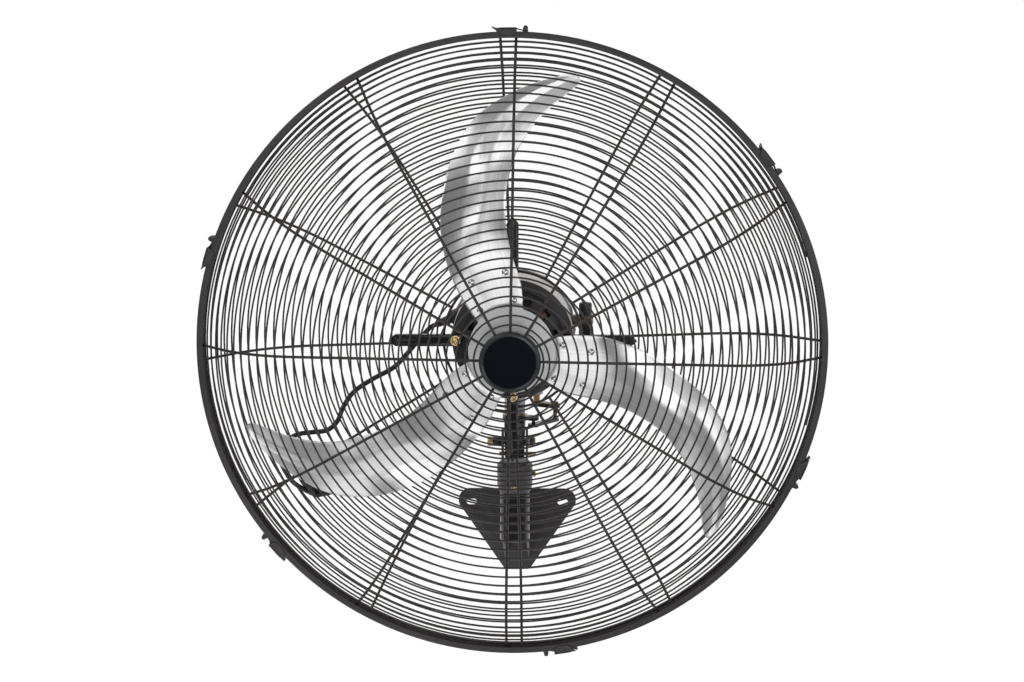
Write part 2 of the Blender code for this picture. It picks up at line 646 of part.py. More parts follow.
def oscillation_drive():
    # the crank's frame stands on the wheel's upright axis, at the fan centre's height
    crank_axis = empty("crank_axis", (gear["crank_x"], crank_back, 0), fan_centre)
    teeth = []
    for tooth in range(gear["teeth"] * 2):
        radius = wheel_radius - (tooth % 2) * gear["tooth_depth"]
        angle = math.tau * tooth / gear["teeth"] / 2
        teeth.append((radius * math.cos(angle), radius * math.sin(angle)))
    wheel = place("worm_wheel", prism(teeth, -gear["wheel_half"], gear["wheel_half"], "Z"),
                  bronze, crank_axis, smooth=False)
    arm_top = crank["arm_top"] - TILT_DROP
    arm_bottom = crank["arm_bottom"] - TILT_DROP
    shaft = rod(gear["crank_shaft_radius"], arm_top + CLEARANCE, 0, PIN_STEPS, "Z")
    weld(wheel, shaft, "worm_wheel_shaft")
    # crank arm below the housing, with its pin
    outline = arc((0, 0), crank["arm_half_width"], 90, 270, 8)
    outline += arc((crank_throw, 0), crank["arm_half_width"], -90, 90, 8)
    arm = place("crank_arm", prism(outline, arm_bottom, arm_top, "Z"), bare_steel, crank_axis)
    arm.rotation_euler = (0, 0, crank_angle)
    pin_bottom = crank["pin_bottom"] - TILT_DROP
    pin = rod(crank["pin_radius"], pin_bottom, arm_bottom + CLEARANCE, PIN_STEPS, "Z")
    weld(arm, shifted(pin, (crank_throw, 0, 0)), "crank_arm_pin")
    screw = rod(crank["screw_radius"], arm_top - CLEARANCE, arm_top + crank["screw_height"],
                PIN_STEPS, "Z", chamfer=crank["screw_height"] / 3)
    weld(arm, shifted(screw, (crank_throw, 0, 0)), "crank_arm_screw")
    # link bar from the crank pin to the pin of the neck's ear
    link_axis = empty("link_axis", (gear["crank_x"] + neck["ear_x"], crank_back + neck["ear_y"], 0),
                      fan_centre)
    low = crank["link_bottom"] - TILT_DROP
    high = crank["link_top"] - TILT_DROP
    half = crank["link_half_width"]
    blend = math.degrees(math.asin(half / crank["eye_outer"]))
    bar = arc((0, 0), half, 90, 270, 8)
    bar += arc((link_length, 0), crank["eye_outer"], -180 + blend, 180 - blend, 12)
    link = place("link_bar", prism(bar, low, high, "Z"), black_coat, link_axis)
    link.rotation_euler = (0, 0, link_angle)
    pin_hole = rod(turning_bore(crank["pin_radius"], PIN_STEPS), low - OVERRUN, high + OVERRUN,
                   PIN_STEPS, "Z")
    eye = rod(turning_bore(neck["ear_pin_radius"], PIN_STEPS), low - OVERRUN, high + OVERRUN,
              PIN_STEPS, "Z")
    cut(link, merged([pin_hole, shifted(eye, (link_length, 0, 0))]), "link_bar_holes")
    # clutch knob on its stem over the wheel
    top = gear["half_height"] + gear["cover_thickness"] + CLEARANCE
    knob = [(0, gear["wheel_half"] + RUNNING_GAP + knob_values["travel"]),
            (gear["knob_shaft_radius"], gear["wheel_half"] + RUNNING_GAP + knob_values["travel"]),
            (gear["knob_shaft_radius"], top + knob_values["travel"] + RUNNING_GAP),
            (knob_values["radius"], top + knob_values["travel"] + RUNNING_GAP),
            (knob_values["radius"], top + knob_values["height"] - knob_values["crown"]),
            (knob_values["radius"] - knob_values["crown"], top + knob_values["height"]),
            (0, top + knob_values["height"])]
    place("clutch_knob", lathe(knob, PIN_STEPS, "Z"), plastic_black, crank_axis)


knob_values = {
    "radius": 0.009,
    "height": 0.022,
    "crown": 0.003,
    "travel": 0.005,
}

neck_block()
gearbox()
oscillation_drive()


# Guard lines: both guards are flat in the middle and bend round to the rim's mouth
guard = {
    "front_mouth": 0.0,
    "rear_mouth": 0.008,
    "hoop_inset": 0.0015,
    "wire_section_share": 1.3,
    "spoke_section_share": 1.2,
    "front_start": 0.046,
    "front_first_pitch": 0.006,
    "front_last_gap": 0.032,
    "front_split_turn": 18.5,
    "ring_stand": 0.006,
    "rear_last_gap": 0.034,
    "rear_split_turn": 14,
    "front_roll": 0.9,
    "rear_roll": -2,
    "hub_plate_radius": 0.033,
    "hub_plate_thickness": 0.0025,
    "spoke_inner_radius": 0.029,
    "coarse_radius": 0.140,
}
wire_corner = WIRE_DIAMETER / 2 * guard["wire_section_share"]
wire_flat = wire_corner / 2
spoke_corner = SPOKE_DIAMETER / 2 * guard["spoke_section_share"]
spoke_flat = spoke_corner / math.sqrt(2)
spoke_offset = wire_flat + CLEARANCE + spoke_flat
rear_ring_radius = MOTOR_SKIRT_RADIUS + guard["ring_stand"]

band = {
    "wall": 0.0015,
    "front": -0.008,
    "back": 0.016,
    "lip_depth": 0.008,
}
lip_radius = GUARD_RADIUS - band["lip_depth"]
hoop_radius = ((GUARD_RADIUS - band["wall"]) * math.cos(math.pi / FINE_STEPS)
               - CLEARANCE - spoke_flat)


class GuardLine:
    # the side view of a guard: radius, place along +Y and outward direction at a reach from the centre
    def __init__(self, depth, face_radius, mouth, toward):
        self.depth = depth
        self.face_radius = face_radius
        self.toward = toward
        self.mouth = mouth
        rise = depth - abs(mouth)
        run = guard_mouth_radius - face_radius
        self.bend = 2 * math.atan2(rise, run)
        self.bend_radius = run / math.sin(self.bend)

    def at(self, reach, inset=0):
        angle = max(0, reach - self.face_radius) / self.bend_radius
        flat = min(reach, self.face_radius)
        radius = flat + (self.bend_radius - inset) * math.sin(angle)
        depth = self.depth - self.bend_radius + (self.bend_radius - inset) * math.cos(angle)
        return radius, self.toward * depth, angle

    def point(self, reach, clock_angle, inset=0):
        radius, back, angle = self.at(reach, inset)
        outward = clock(math.sin(angle), clock_angle, self.toward * math.cos(angle))
        return clock(radius, clock_angle, back), outward

    def end_reach(self):
        return self.face_radius + self.bend * self.bend_radius


front_line = GuardLine(FRONT_DEPTH, front_face_radius, guard["front_mouth"], -1)
rear_line = GuardLine(REAR_DEPTH, rear_face_radius, guard["rear_mouth"], 1)
SEGMENTS = SPOKES * 2


def front_reach(turns):
    pitch = FRONT_PITCH if turns > 0 else guard["front_first_pitch"]
    return guard["front_start"] + pitch * turns


def rear_reach(turns):
    return rear_ring_radius + REAR_PITCH * turns


def half_turns(line, last_gap, start, pitch):
    # as many half turns as fit before the last gap to the mouth
    return math.floor((line.end_reach() - last_gap - start) / pitch * 2) / 2


front_turns = half_turns(front_line, guard["front_last_gap"], guard["front_start"], FRONT_PITCH)
rear_turns = half_turns(rear_line, guard["rear_last_gap"], rear_ring_radius, REAR_PITCH)


def spiral(name, line, reach, roll, first, last, handed, gap=False):
    # one welded wire, with a corner over each spoke and, past the small turns, one between each pair
    points = []
    ups = []
    steps = round((last - first) * SEGMENTS)
    for step in range(steps + 1):
        turns = first + step / SEGMENTS
        between = round(turns * SEGMENTS) % 2 == 1
        if between and 0 < step < steps and reach(turns) < guard["coarse_radius"]:
            continue
        if gap and step == 0:
            turns += CLEARANCE * 2 / (math.tau * reach(turns))
        point, outward = line.point(reach(turns), roll + handed * 360 * turns)
        points.append(point)
        ups.append(outward)
    shape = sweep(points, wire_corner, 3, ups, phase=math.pi / 2)
    return place(name, shape, black_coat, fan_centre, smooth=False)


def spoke_frame(name, line, roll, inner, hoop_back, inner_hoop):
    # twelve spokes on an outer hoop, and either a hub plate or an inner hoop
    hoop_points = [clock(hoop_radius, roll + 360 * step / SEGMENTS, hoop_back)
                   for step in range(SEGMENTS)]
    hoop_ups = [point.normalized() for point in
                (clock(1, roll + 360 * step / SEGMENTS) for step in range(SEGMENTS))]
    frame = place(name, sweep(hoop_points, spoke_corner, 4, hoop_ups, True, math.pi / 4),
                  black_coat, fan_centre, smooth=False)
    bars = []
    bends = 4
    for spoke in range(SPOKES):
        angle = roll + 360 * spoke / SPOKES
        reaches = [inner] + [line.face_radius + line.bend * line.bend_radius * bend / bends
                             for bend in range(bends)]
        points = []
        ups = []
        for reach in reaches:
            point, outward = line.point(reach, angle, spoke_offset)
            if reach <= line.face_radius:
                point = clock(reach, angle, line.toward * (line.depth - spoke_offset))
            points.append(point)
            ups.append(outward)
        points.append(clock(hoop_radius - spoke_flat / 2, angle, hoop_back))
        ups.append(clock(0, angle, line.toward))
        bars.append(sweep(points, spoke_corner, 4, ups, phase=math.pi / 4))
    weld(frame, merged(bars), name + "_bars")
    middle = line.toward * (line.depth - spoke_offset)
    if inner_hoop:
        ring = [clock(rear_ring_radius, roll + 360 * step / SEGMENTS, middle)
                for step in range(SEGMENTS)]
        ring_ups = [Vector((0, line.toward, 0))] * SEGMENTS
        weld(frame, sweep(ring, spoke_corner, 4, ring_ups, True, math.pi / 4), name + "_ring")
    else:
        half = guard["hub_plate_thickness"] / 2
        plate = rod(guard["hub_plate_radius"], middle - half, middle + half, ROUND_STEPS)
        weld(frame, plate, name + "_plate")
    return frame


# Motor pieces, about the fan's centre
flange_front = REAR_DEPTH - spoke_offset - spoke_flat
motor = {
    "wall": 0.0027,
    "dome_radius": 0.0655,
    "skirt_depth": 0.0140,
    "shaft_hole": 0.0095,
    "bearing_outer": 0.013,
    "bearing_width": 0.009,
    "boss_radius": 0.0175,
    "window_inner": 0.049,
    "window_outer": 0.061,
    "window_width": 0.011,
    "window_count": 12,
    "window_first": 20,
    "core_outer": 0.0772,
    "core_inner": 0.0405,
    "core_front": 0.108,
    "core_back": 0.158,
    "rotor_gap": 0.0006,
    "winding_inner": 0.0455,
    "winding_outer": 0.069,
    "winding_nose": 0.0785,
    "rear_skirt": 0.160,
    "shell_back": 0.170,
}
shell_front = flange_front + motor["wall"] * 3.4


def front_shield():
    wall = motor["wall"]
    face = MOTOR_FRONT
    dome = motor["dome_radius"]
    skirt = MOTOR_SKIRT_RADIUS
    inner = MOTOR_RADIUS + CLEARANCE
    bore = motor["bearing_outer"] + CLEARANCE
    boss_back = face + wall + motor["bearing_width"] + CLEARANCE * 2
    outline = [(motor["shaft_hole"], face), (dome - wall, face), (dome, face + wall),
               (dome, flange_front), (skirt - wall / 2, flange_front),
               (skirt, flange_front + wall / 2), (skirt, flange_front + motor["skirt_depth"]),
               (inner, flange_front + motor["skirt_depth"]), (inner, shell_front - CLEARANCE),
               (inner - wall * 1.5, shell_front - CLEARANCE), (inner - wall * 2, flange_front + wall),
               (dome - wall, flange_front + wall), (dome - wall, face + wall),
               (motor["boss_radius"], face + wall), (motor["boss_radius"], boss_back),
               (bore, boss_back), (bore, face + wall), (motor["shaft_hole"], face + wall)]
    shield = place("motor_front_shield", lathe(outline, ROUND_STEPS), grey_coat, fan_centre)
    windows = []
    half = motor["window_width"] / 2
    for window in range(motor["window_count"]):
        hole = prism([(-half, motor["window_inner"]), (half, motor["window_inner"]),
                      (half, motor["window_outer"]), (-half, motor["window_outer"])],
                     face - OVERRUN, face + wall + OVERRUN)
        angle = motor["window_first"] + 360 * window / motor["window_count"]
        windows.append(shifted(hole, turn=math.radians(angle)))
    cut(shield, merged(windows), "motor_front_shield_windows")
    holes = [shifted(rod(arm["screw_radius"] + CLEARANCE, flange_front - OVERRUN,
                         flange_front + wall + OVERRUN, 8),
                     clock(arm["screw_at"], 90 * quarter)) for quarter in range(4)]
    cut(shield, merged(holes), "motor_front_shield_holes")


def motor_body():
    wall = motor["wall"]
    shell_inner = motor["core_outer"] + CLEARANCE
    shell = [(shell_inner, shell_front), (MOTOR_RADIUS, shell_front),
             (MOTOR_RADIUS, motor["shell_back"]), (shell_inner, motor["shell_back"])]
    place("motor_shell", lathe(shell, ROUND_STEPS), bare_steel, fan_centre)
    inner = MOTOR_RADIUS + CLEARANCE
    back = MOTOR_REAR
    dome_run = back - motor["shell_back"]
    bore = motor["bearing_outer"] + CLEARANCE
    pocket = back - wall * 2
    mouth = pocket - motor["bearing_width"] - CLEARANCE
    flat = gear["flange_radius"]
    outline = [(SHAFT_RADIUS + RUNNING_GAP * 2, back), (flat, back),
               (MOTOR_RADIUS * 0.82, back - dome_run * 0.2), (MOTOR_RADIUS, back - dome_run * 0.6),
               (inner + wall * 1.4, back - dome_run * 0.95), (inner + wall * 1.4, motor["rear_skirt"]),
               (inner, motor["rear_skirt"]), (inner, motor["shell_back"] + CLEARANCE),
               (inner - wall * 1.4, motor["shell_back"] + CLEARANCE),
               (MOTOR_RADIUS - wall * 1.2, back - dome_run * 0.66),
               (MOTOR_RADIUS * 0.8, back - dome_run * 0.33), (flat, back - wall * 1.4),
               (motor["boss_radius"], back - wall * 1.4), (motor["boss_radius"], mouth),
               (bore, mouth), (bore, pocket), (SHAFT_RADIUS + RUNNING_GAP * 2, pocket)]
    place("motor_rear_shield", lathe(outline, ROUND_STEPS), cast_grey, fan_centre)
    core = [(motor["core_inner"], motor["core_front"]), (motor["core_outer"], motor["core_front"]),
            (motor["core_outer"], motor["core_back"]), (motor["core_inner"], motor["core_back"])]
    place("stator_core", lathe(core, ROUND_STEPS), laminations, fan_centre)
    coil_in = motor["winding_inner"]
    coil_out = motor["winding_outer"]
    nose = motor["winding_nose"]
    near = motor["core_front"] - CLEARANCE
    dome = motor["dome_radius"] - motor["wall"] * 2
    step = flange_front + motor["wall"] * 1.6
    front_coil = [(coil_in, near), (coil_in, nose + coil_in / 12), (coil_in + coil_in / 12, nose),
                  (dome, nose + coil_in / 12), (dome, step), (coil_out, step + coil_in / 12),
                  (coil_out, near)]
    place("winding_front", lathe(front_coil, ROUND_STEPS), copper, fan_centre)
    far = motor["core_back"] + CLEARANCE
    rear_coil = [(coil_in, far), (coil_out, far), (coil_out, motor["shell_back"]),
                 (dome, back - dome_run / 2), (coil_in, back - dome_run / 2)]
    place("winding_rear", lathe(rear_coil, ROUND_STEPS), copper, fan_centre)
    width = motor["bearing_width"]
    starts = {"bearing_front": MOTOR_FRONT + wall + CLEARANCE,
              "bearing_rear": pocket - CLEARANCE - width}
    for name, start in starts.items():
        inside = turning_bore(SHAFT_RADIUS, PIN_STEPS)
        ring = [(inside, start), (motor["bearing_outer"], start),
                (motor["bearing_outer"], start + width), (inside, start + width)]
        place(name, lathe(ring, PIN_STEPS), bare_steel, fan_centre)


# Guard arms: black grooved bars from the motor out over the rear guard
arm = {
    "width": 0.0155,
    "thickness": 0.008,
    "start": 0.068,
    "end": 0.1635,
    "point": 0.009,
    "groove_width": 0.0055,
    "groove_depth": 0.003,
    "groove_start": 0.084,
    "groove_end": 0.153,
    "screw_at": 0.075,
    "screw_radius": 0.0022,
}


def guard_arms():
    half = arm["width"] / 2
    back = flange_front - CLEARANCE
    front = back - arm["thickness"]
    for quarter, name in enumerate(("top", "right", "bottom", "left")):
        outline = [(-half, arm["start"]), (half, arm["start"]), (half, arm["end"] - arm["point"]),
                   (0, arm["end"]), (-half, arm["end"] - arm["point"])]
        turned = math.radians(90 * quarter)
        bar = place("guard_arm_" + name, prism(outline, front, back), gloss_black, fan_centre,
                    turn=(0, turned, 0), smooth=False)
        groove_half = arm["groove_width"] / 2
        groove = prism([(-groove_half, arm["groove_start"]), (groove_half, arm["groove_start"]),
                        (groove_half, arm["groove_end"]), (-groove_half, arm["groove_end"])],
                       front - OVERRUN, front + arm["groove_depth"])
        hole = shifted(rod(arm["screw_radius"] + CLEARANCE, front - OVERRUN, back + OVERRUN, 8),
                       (0, 0, arm["screw_at"]))
        cut(bar, merged([groove, hole]), "guard_arm_" + name + "_cuts")


front_shield()
motor_body()
guard_arms()


# Rim band: a channel that clamps both outer hoops, with ears for the clip pins
clip = {
    "angles": (2.5, 55.5, 115.5, 173.5, 232.5, 290.7),
    "pin_radius": 0.0013,
    "pin_out": 0.0047,
    "ear_radius": 0.0028,
    "ear_thickness": 0.004,
    "ear_front": -0.0055,
    "ear_back": 0.0095,
    "barrel_radius": 0.0030,
    "lever_length": 0.035,
    "lever_sheet": 0.0015,
    "lever_lift": 0.0010,
    "tab_length": 0.006,
    "tab_rise": 0.0035,
}


def rim_band():
    wall = band["wall"]
    soft = wall * 0.9
    outline = [(lip_radius, band["front"]), (GUARD_RADIUS - soft, band["front"]),
               (GUARD_RADIUS, band["front"] + soft), (GUARD_RADIUS, band["back"] - soft),
               (GUARD_RADIUS - soft, band["back"]), (lip_radius, band["back"]),
               (lip_radius, band["back"] - wall), (GUARD_RADIUS - wall, band["back"] - wall),
               (GUARD_RADIUS - wall, band["front"] + wall), (lip_radius, band["front"] + wall)]
    rim = place("rim_band", lathe(outline, FINE_STEPS), black_coat, fan_centre)
    parts = []
    centre = GUARD_RADIUS + clip["pin_out"]
    foot = (GUARD_RADIUS - wall / 2) * math.cos(math.pi / FINE_STEPS)
    pins = []
    for angle in clip["angles"]:
        for low in (clip["ear_front"], clip["ear_back"]):
            round_top = arc((0, centre), clip["ear_radius"], 0, 180, 4)
            ear = prism([(-clip["ear_radius"], foot), (clip["ear_radius"], foot)] + round_top,
                        low, low + clip["ear_thickness"])
            parts.append(shifted(ear, turn=math.radians(angle)))
        pin = rod(clip["pin_radius"], clip["ear_front"] + clip["ear_thickness"] / 2,
                  clip["ear_back"] + clip["ear_thickness"] / 2, 6)
        pins.append(shifted(pin, clock(centre, angle)))
    weld(rim, merged(parts), "rim_band_ears")
    weld(rim, merged(pins), "rim_band_pins")


def latch_clips():
    # each lever is a barrel on its pin and a strip that lies along the rim, counter clockwise
    bore = clip["pin_radius"] + CLEARANCE
    low = clip["ear_front"] + clip["ear_thickness"] + CLEARANCE * 2
    high = clip["ear_back"] - CLEARANCE * 2
    centre = GUARD_RADIUS + clip["pin_out"]
    inside = GUARD_RADIUS + clip["lever_lift"]
    span = math.degrees(clip["lever_length"] / GUARD_RADIUS)
    tab = math.degrees(clip["tab_length"] / GUARD_RADIUS)
    for number, angle in enumerate(clip["angles"], 1):
        steps = 4
        outer = inside + clip["lever_sheet"]
        under = [clock(inside, -span * step / steps) for step in range(steps + 1)]
        under.append(clock(inside + clip["tab_rise"], -span - tab))
        over = [clock(outer + clip["tab_rise"], -span - tab)]
        over += [clock(outer, -span * step / steps) for step in range(steps, 0, -1)]
        plan = [(point.x, point.z - centre) for point in under + over]
        barrel = arc((0, 0), clip["barrel_radius"], 165, -90, 7)
        strip = prism(plan[:1] + plan[1:] + barrel[:-1], low, high)
        axis = empty("clip_axis_" + str(number), clock(centre, angle), fan_centre)
        lever = place("latch_clip_" + str(number), strip, black_coat, axis,
                      turn=(0, math.radians(angle), 0))
        cut(lever, rod(bore, low - OVERRUN, high + OVERRUN, 6), "latch_clip_bore_" + str(number))


# Front cap, capacitor and cable gland
cap = {
    "radius": 0.0382,
    "front": 0.0785,
    "bezel": 0.004,
    "dish": 0.001,
    "wall": 0.002,
}


def front_cap():
    # a shallow cup over the hub plate, notched for the twelve spokes
    middle = FRONT_DEPTH - spoke_offset
    plate_front = middle + guard["hub_plate_thickness"] / 2 + CLEARANCE
    inner = cap["radius"] - cap["wall"]
    back = middle - spoke_corner
    soft = cap["bezel"]
    outline = [(0, -cap["front"] + cap["dish"]), (cap["radius"] - soft * 1.5, -cap["front"] + cap["dish"]),
               (cap["radius"] - soft, -cap["front"]), (cap["radius"] - soft / 3, -cap["front"] + soft / 3),
               (cap["radius"], -cap["front"] + soft), (cap["radius"], -back), (inner, -back),
               (inner, -plate_front - spoke_corner), (0, -plate_front - spoke_corner)]
    shell = place("front_cap", lathe(outline, ROUND_STEPS), plastic_black, fan_centre)
    boss = rod(cap["radius"] / 3, -plate_front - spoke_corner - CLEARANCE, -plate_front, PIN_STEPS)
    weld(shell, boss, "front_cap_boss")
    notch = spoke_corner + CLEARANCE * 2
    notches = []
    for spoke in range(SPOKES):
        slot = prism([(-notch, inner - OVERRUN / 2), (notch, inner - OVERRUN / 2),
                      (notch, cap["radius"] + OVERRUN), (-notch, cap["radius"] + OVERRUN)],
                     -middle - notch, -back + OVERRUN)
        notches.append(shifted(slot, turn=math.radians(guard["front_roll"] + 360 * spoke / SPOKES)))
    cut(shell, merged(notches), "front_cap_notches")


capacitor_values = {
    "radius": 0.009,
    "height": 0.046,
    "low": -0.005,
    "back": 0.140,
    "foot_width": 0.012,
    "strap": 0.0015,
    "stand": 0.0075,
}
gland = {
    "angle": 286,
    "back": 0.135,
    "flange_radius": 0.0105,
    "nut_radius": 0.009,
    "nut_length": 0.008,
    "taper_length": 0.020,
    "tip_radius": 0.0048,
    "lean": 38,
    "sink": 0.006,
}


def side_fittings():
    values = capacitor_values
    across = MOTOR_RADIUS + values["stand"] + values["radius"]
    can = rod(values["radius"], values["low"], values["low"] + values["height"], PIN_STEPS, "Z",
              chamfer=values["radius"] / 6)
    place("run_capacitor", can, plastic_black, fan_centre, (across, values["back"], 0))
    # a strap round the can, on a foot that is seated on the motor's shell
    middle = values["low"] + values["height"] / 2
    half = values["foot_width"] / 2
    ring_in = values["radius"] + CLEARANCE
    ring_out = ring_in + values["strap"]
    ring = lathe([(ring_in, middle - half), (ring_out, middle - half), (ring_out, middle + half),
                  (ring_in, middle + half)], PIN_STEPS, "Z")
    shifted(ring, (across, values["back"], 0))
    strap = place("capacitor_strap", ring, bare_steel, fan_centre)
    reach = across - values["radius"]
    foot = prism([(MOTOR_RADIUS * 0.9, values["back"] - half), (reach, values["back"] - half),
                  (reach, values["back"] + half), (MOTOR_RADIUS * 0.9, values["back"] + half)],
                 middle - half, middle + half, "Z")
    weld(strap, foot, "capacitor_strap_foot")
    hollow = shifted(rod(ring_in, middle - half - OVERRUN, middle + half + OVERRUN, PIN_STEPS, "Z"),
                     (across, values["back"], 0))
    cut(strap, hollow, "capacitor_strap_bore")
    cut(strap, rod(MOTOR_RADIUS + CLEARANCE, motor["core_front"], motor["shell_back"], ROUND_STEPS),
        "capacitor_strap_seat")


gland_root = clock(MOTOR_RADIUS, gland["angle"], gland["back"])
gland_angle = gland["angle"] - gland["lean"]
gland_axis = clock(1, gland_angle)
gland_length = gland["nut_length"] + gland["taper_length"]
gland_tip = gland_root + gland_axis * gland_length


def cable_gland():
    # nut and tapered strain relief along +Y, then turned to point down and to the left
    outline = [(0, -gland["sink"]), (gland["flange_radius"], -gland["sink"]),
               (gland["flange_radius"], gland["nut_length"] / 2),
               (gland["nut_radius"], gland["nut_length"] / 2),
               (gland["nut_radius"], gland["nut_length"]),
               (gland["tip_radius"] * 1.4, gland["nut_length"] * 1.1),
               (gland["tip_radius"], gland_length), (0, gland_length)]
    body = lathe(outline, PIN_STEPS)
    aim = Vector((0, 1, 0)).rotation_difference(gland_axis).to_matrix().to_4x4()
    bmesh.ops.transform(body, matrix=Matrix.Translation(gland_root) @ aim, verts=body.verts)
    part = place("cable_gland", body, plastic_black, fan_centre)
    cut(part, rod(MOTOR_RADIUS + CLEARANCE, motor["core_front"], motor["shell_back"], ROUND_STEPS),
        "cable_gland_seat")


# Rotor: shaft, core, hub spider and the three blades
rotor = {
    "shaft_front": -0.019,
    "disc_radius": 0.055,
    "plate_back": 0.006,
    "plate_thickness": 0.003,
    "boss_radius": 0.015,
    "boss_length": 0.026,
    "arm_angle": -17,
    "arm_end": 0.113,
    "arm_half_width": 0.030,
    "nut_flats": 0.019,
    "nut_height": 0.009,
    "arm_corner": 0.0084,
}
# Blade outline: reach as shares of the tip radius, with both edges' angles from the top in
# degrees and their places along +Y as shares of the blade's depth
blade_depth = 0.028
blade_reach_shares = (0.156, 0.23, 0.315, 0.40, 0.49, 0.59, 0.70, 0.81, 0.90, 0.96, 0.99)
blade_front_angles = (-48, -43.9, -39.2, -34.1, -28.8, -22.6, -16.1, -8.2, 1.3, 8.2, 11)
blade_rear_angles = (14.5, 8.4, 1.3, -2.0, -2.4, -0.9, 2.4, 7.4, 11.8, 14.0, 13.2)
blade_front_shares = (0, 0, -0.05, -0.4, -0.75, -0.9, -0.57, -0.28, -0.08, 0, 0)
blade_rear_shares = (0, 0, 0, 0.08, 0.25, 0.25, 0.1, 0.05, 0, 0, 0)
blade_camber_shares = (0, 0, 0, 0.08, 0.13, 0.15, 0.15, 0.12, 0.08, 0.03, 0)


def blade_mesh():
    # a thin cambered sheet, laid out in columns from the convex edge to the concave one
    columns = 4
    shape = bmesh.new()
    sheets = []
    rows = zip(blade_reach_shares, blade_front_angles, blade_rear_angles, blade_front_shares,
               blade_rear_shares, blade_camber_shares)
    for reach_share, first, last, first_share, last_share, camber_share in rows:
        radius = blade_tip_radius * reach_share
        front_row = []
        back_row = []
        for column in range(columns + 1):
            share = column / columns
            angle = first + (last - first) * share
            back = blade_depth * (first_share + (last_share - first_share) * share)
            back += blade_depth * camber_share * math.sin(math.pi * share)
            front_row.append(shape.verts.new(clock(radius, angle, back - BLADE_SHEET)))
            back_row.append(shape.verts.new(clock(radius, angle, back)))
        sheets.append((front_row, back_row))
    for (front_a, back_a), (front_b, back_b) in zip(sheets, sheets[1:]):
        for column in range(columns):
            shape.faces.new((front_a[column], front_a[column + 1], front_b[column + 1], front_b[column]))
            shape.faces.new((back_a[column], back_b[column], back_b[column + 1], back_a[column + 1]))
        for column in (0, columns):
            shape.faces.new((front_a[column], front_b[column], back_b[column], back_a[column]))
    for front_row, back_row in (sheets[0], sheets[-1]):
        for column in range(columns):
            shape.faces.new((front_row[column], front_row[column + 1],
                             back_row[column + 1], back_row[column]))
    return shape


def rotating_parts():
    plate_front = rotor["plate_back"] - rotor["plate_thickness"]
    shaft = [(0, rotor["shaft_front"]), (SHAFT_RADIUS, rotor["shaft_front"]),
             (SHAFT_RADIUS, motor["core_front"]), (SHAFT_RADIUS * 1.2, motor["core_front"]),
             (SHAFT_RADIUS * 1.2, motor["core_back"]), (SHAFT_RADIUS, motor["core_back"]),
             (SHAFT_RADIUS, crank_back - gear["worm_radius"] * 2),
             (gear["worm_radius"], crank_back - gear["worm_radius"] * 2),
             (gear["worm_radius"], gear["shaft_end"]), (0, gear["shaft_end"])]
    place("rotor_shaft", lathe(shaft, PIN_STEPS), bare_steel, spin_axis)
    core_in = SHAFT_RADIUS * 1.2 + CLEARANCE
    core_out = motor["core_inner"] * math.cos(math.pi / ROUND_STEPS) - motor["rotor_gap"]
    core = [(core_in, motor["core_front"] + CLEARANCE), (core_out, motor["core_front"] + CLEARANCE),
            (core_out, motor["core_back"] - CLEARANCE), (core_in, motor["core_back"] - CLEARANCE)]
    place("rotor_core", lathe(core, ROUND_STEPS), laminations, spin_axis)
    # hub spider: a disc with three wide arms and a boss behind it
    bore = SHAFT_RADIUS + CLEARANCE
    disc = [(bore, plate_front), (rotor["disc_radius"], plate_front),
            (rotor["disc_radius"], rotor["plate_back"]), (rotor["boss_radius"], rotor["plate_back"]),
            (rotor["boss_radius"], rotor["plate_back"] + rotor["boss_length"]),
            (bore, rotor["plate_back"] + rotor["boss_length"])]
    spider = place("hub_spider", lathe(disc, ROUND_STEPS), brushed, spin_axis)
    spokes = []
    half = rotor["arm_half_width"]
    soft = rotor["arm_corner"]
    for blade in range(BLADES):
        plan = [(-half, rotor["disc_radius"] / 2), (half, rotor["disc_radius"] / 2),
                (half, rotor["arm_end"] - soft), (half - soft, rotor["arm_end"]),
                (soft - half, rotor["arm_end"]), (-half, rotor["arm_end"] - soft)]
        lobe = prism(plan, plate_front, rotor["plate_back"])
        spokes.append(shifted(lobe, turn=math.radians(rotor["arm_angle"] + 360 * blade / BLADES)))
    weld(spider, merged(spokes), "hub_spider_arms")
    shared = None
    for blade in range(BLADES):
        turned = (0, math.radians(360 * blade / BLADES), 0)
        name = "blade_" + str(blade + 1)
        if shared is None:
            first = place(name, blade_mesh(), brushed, spin_axis, (0, plate_front - CLEARANCE, 0), turned)
            shared = first.data
        else:
            place(name, shared, brushed, spin_axis, (0, plate_front - CLEARANCE, 0), turned)
    nut_back = plate_front - CLEARANCE
    nut = prism(hexagon(rotor["nut_flats"]), nut_back - rotor["nut_height"], nut_back)
    hub_nut = place("hub_nut", nut, bare_steel, spin_axis, smooth=False)
    cut(hub_nut, rod(bore, nut_back - rotor["nut_height"] - OVERRUN, nut_back + OVERRUN, PIN_STEPS),
        "hub_nut_bore")


spoke_frame("front_guard_spokes", front_line, guard["front_roll"], guard["spoke_inner_radius"],
            guard["front_mouth"] + guard["hoop_inset"], False)
spoke_frame("rear_guard_spokes", rear_line, guard["rear_roll"], rear_ring_radius,
            guard["rear_mouth"] - guard["hoop_inset"], True)
one_turn_share = 11 / 12
spiral("front_guard_face_wire", front_line, front_reach, guard["front_roll"], -one_turn_share,
       guard["front_split_turn"] - 1 / SEGMENTS, 1)
spiral("front_guard_shoulder_wire", front_line, front_reach, guard["front_roll"],
       guard["front_split_turn"] - 1 / SEGMENTS, front_turns, 1, True)
spiral("rear_guard_face_wire", rear_line, rear_reach, guard["rear_roll"], 0.5,
       guard["rear_split_turn"], 1)
spiral("rear_guard_shoulder_wire", rear_line, rear_reach, guard["rear_roll"],
       guard["rear_split_turn"], rear_turns, 1, True)
rim_band()
latch_clips()
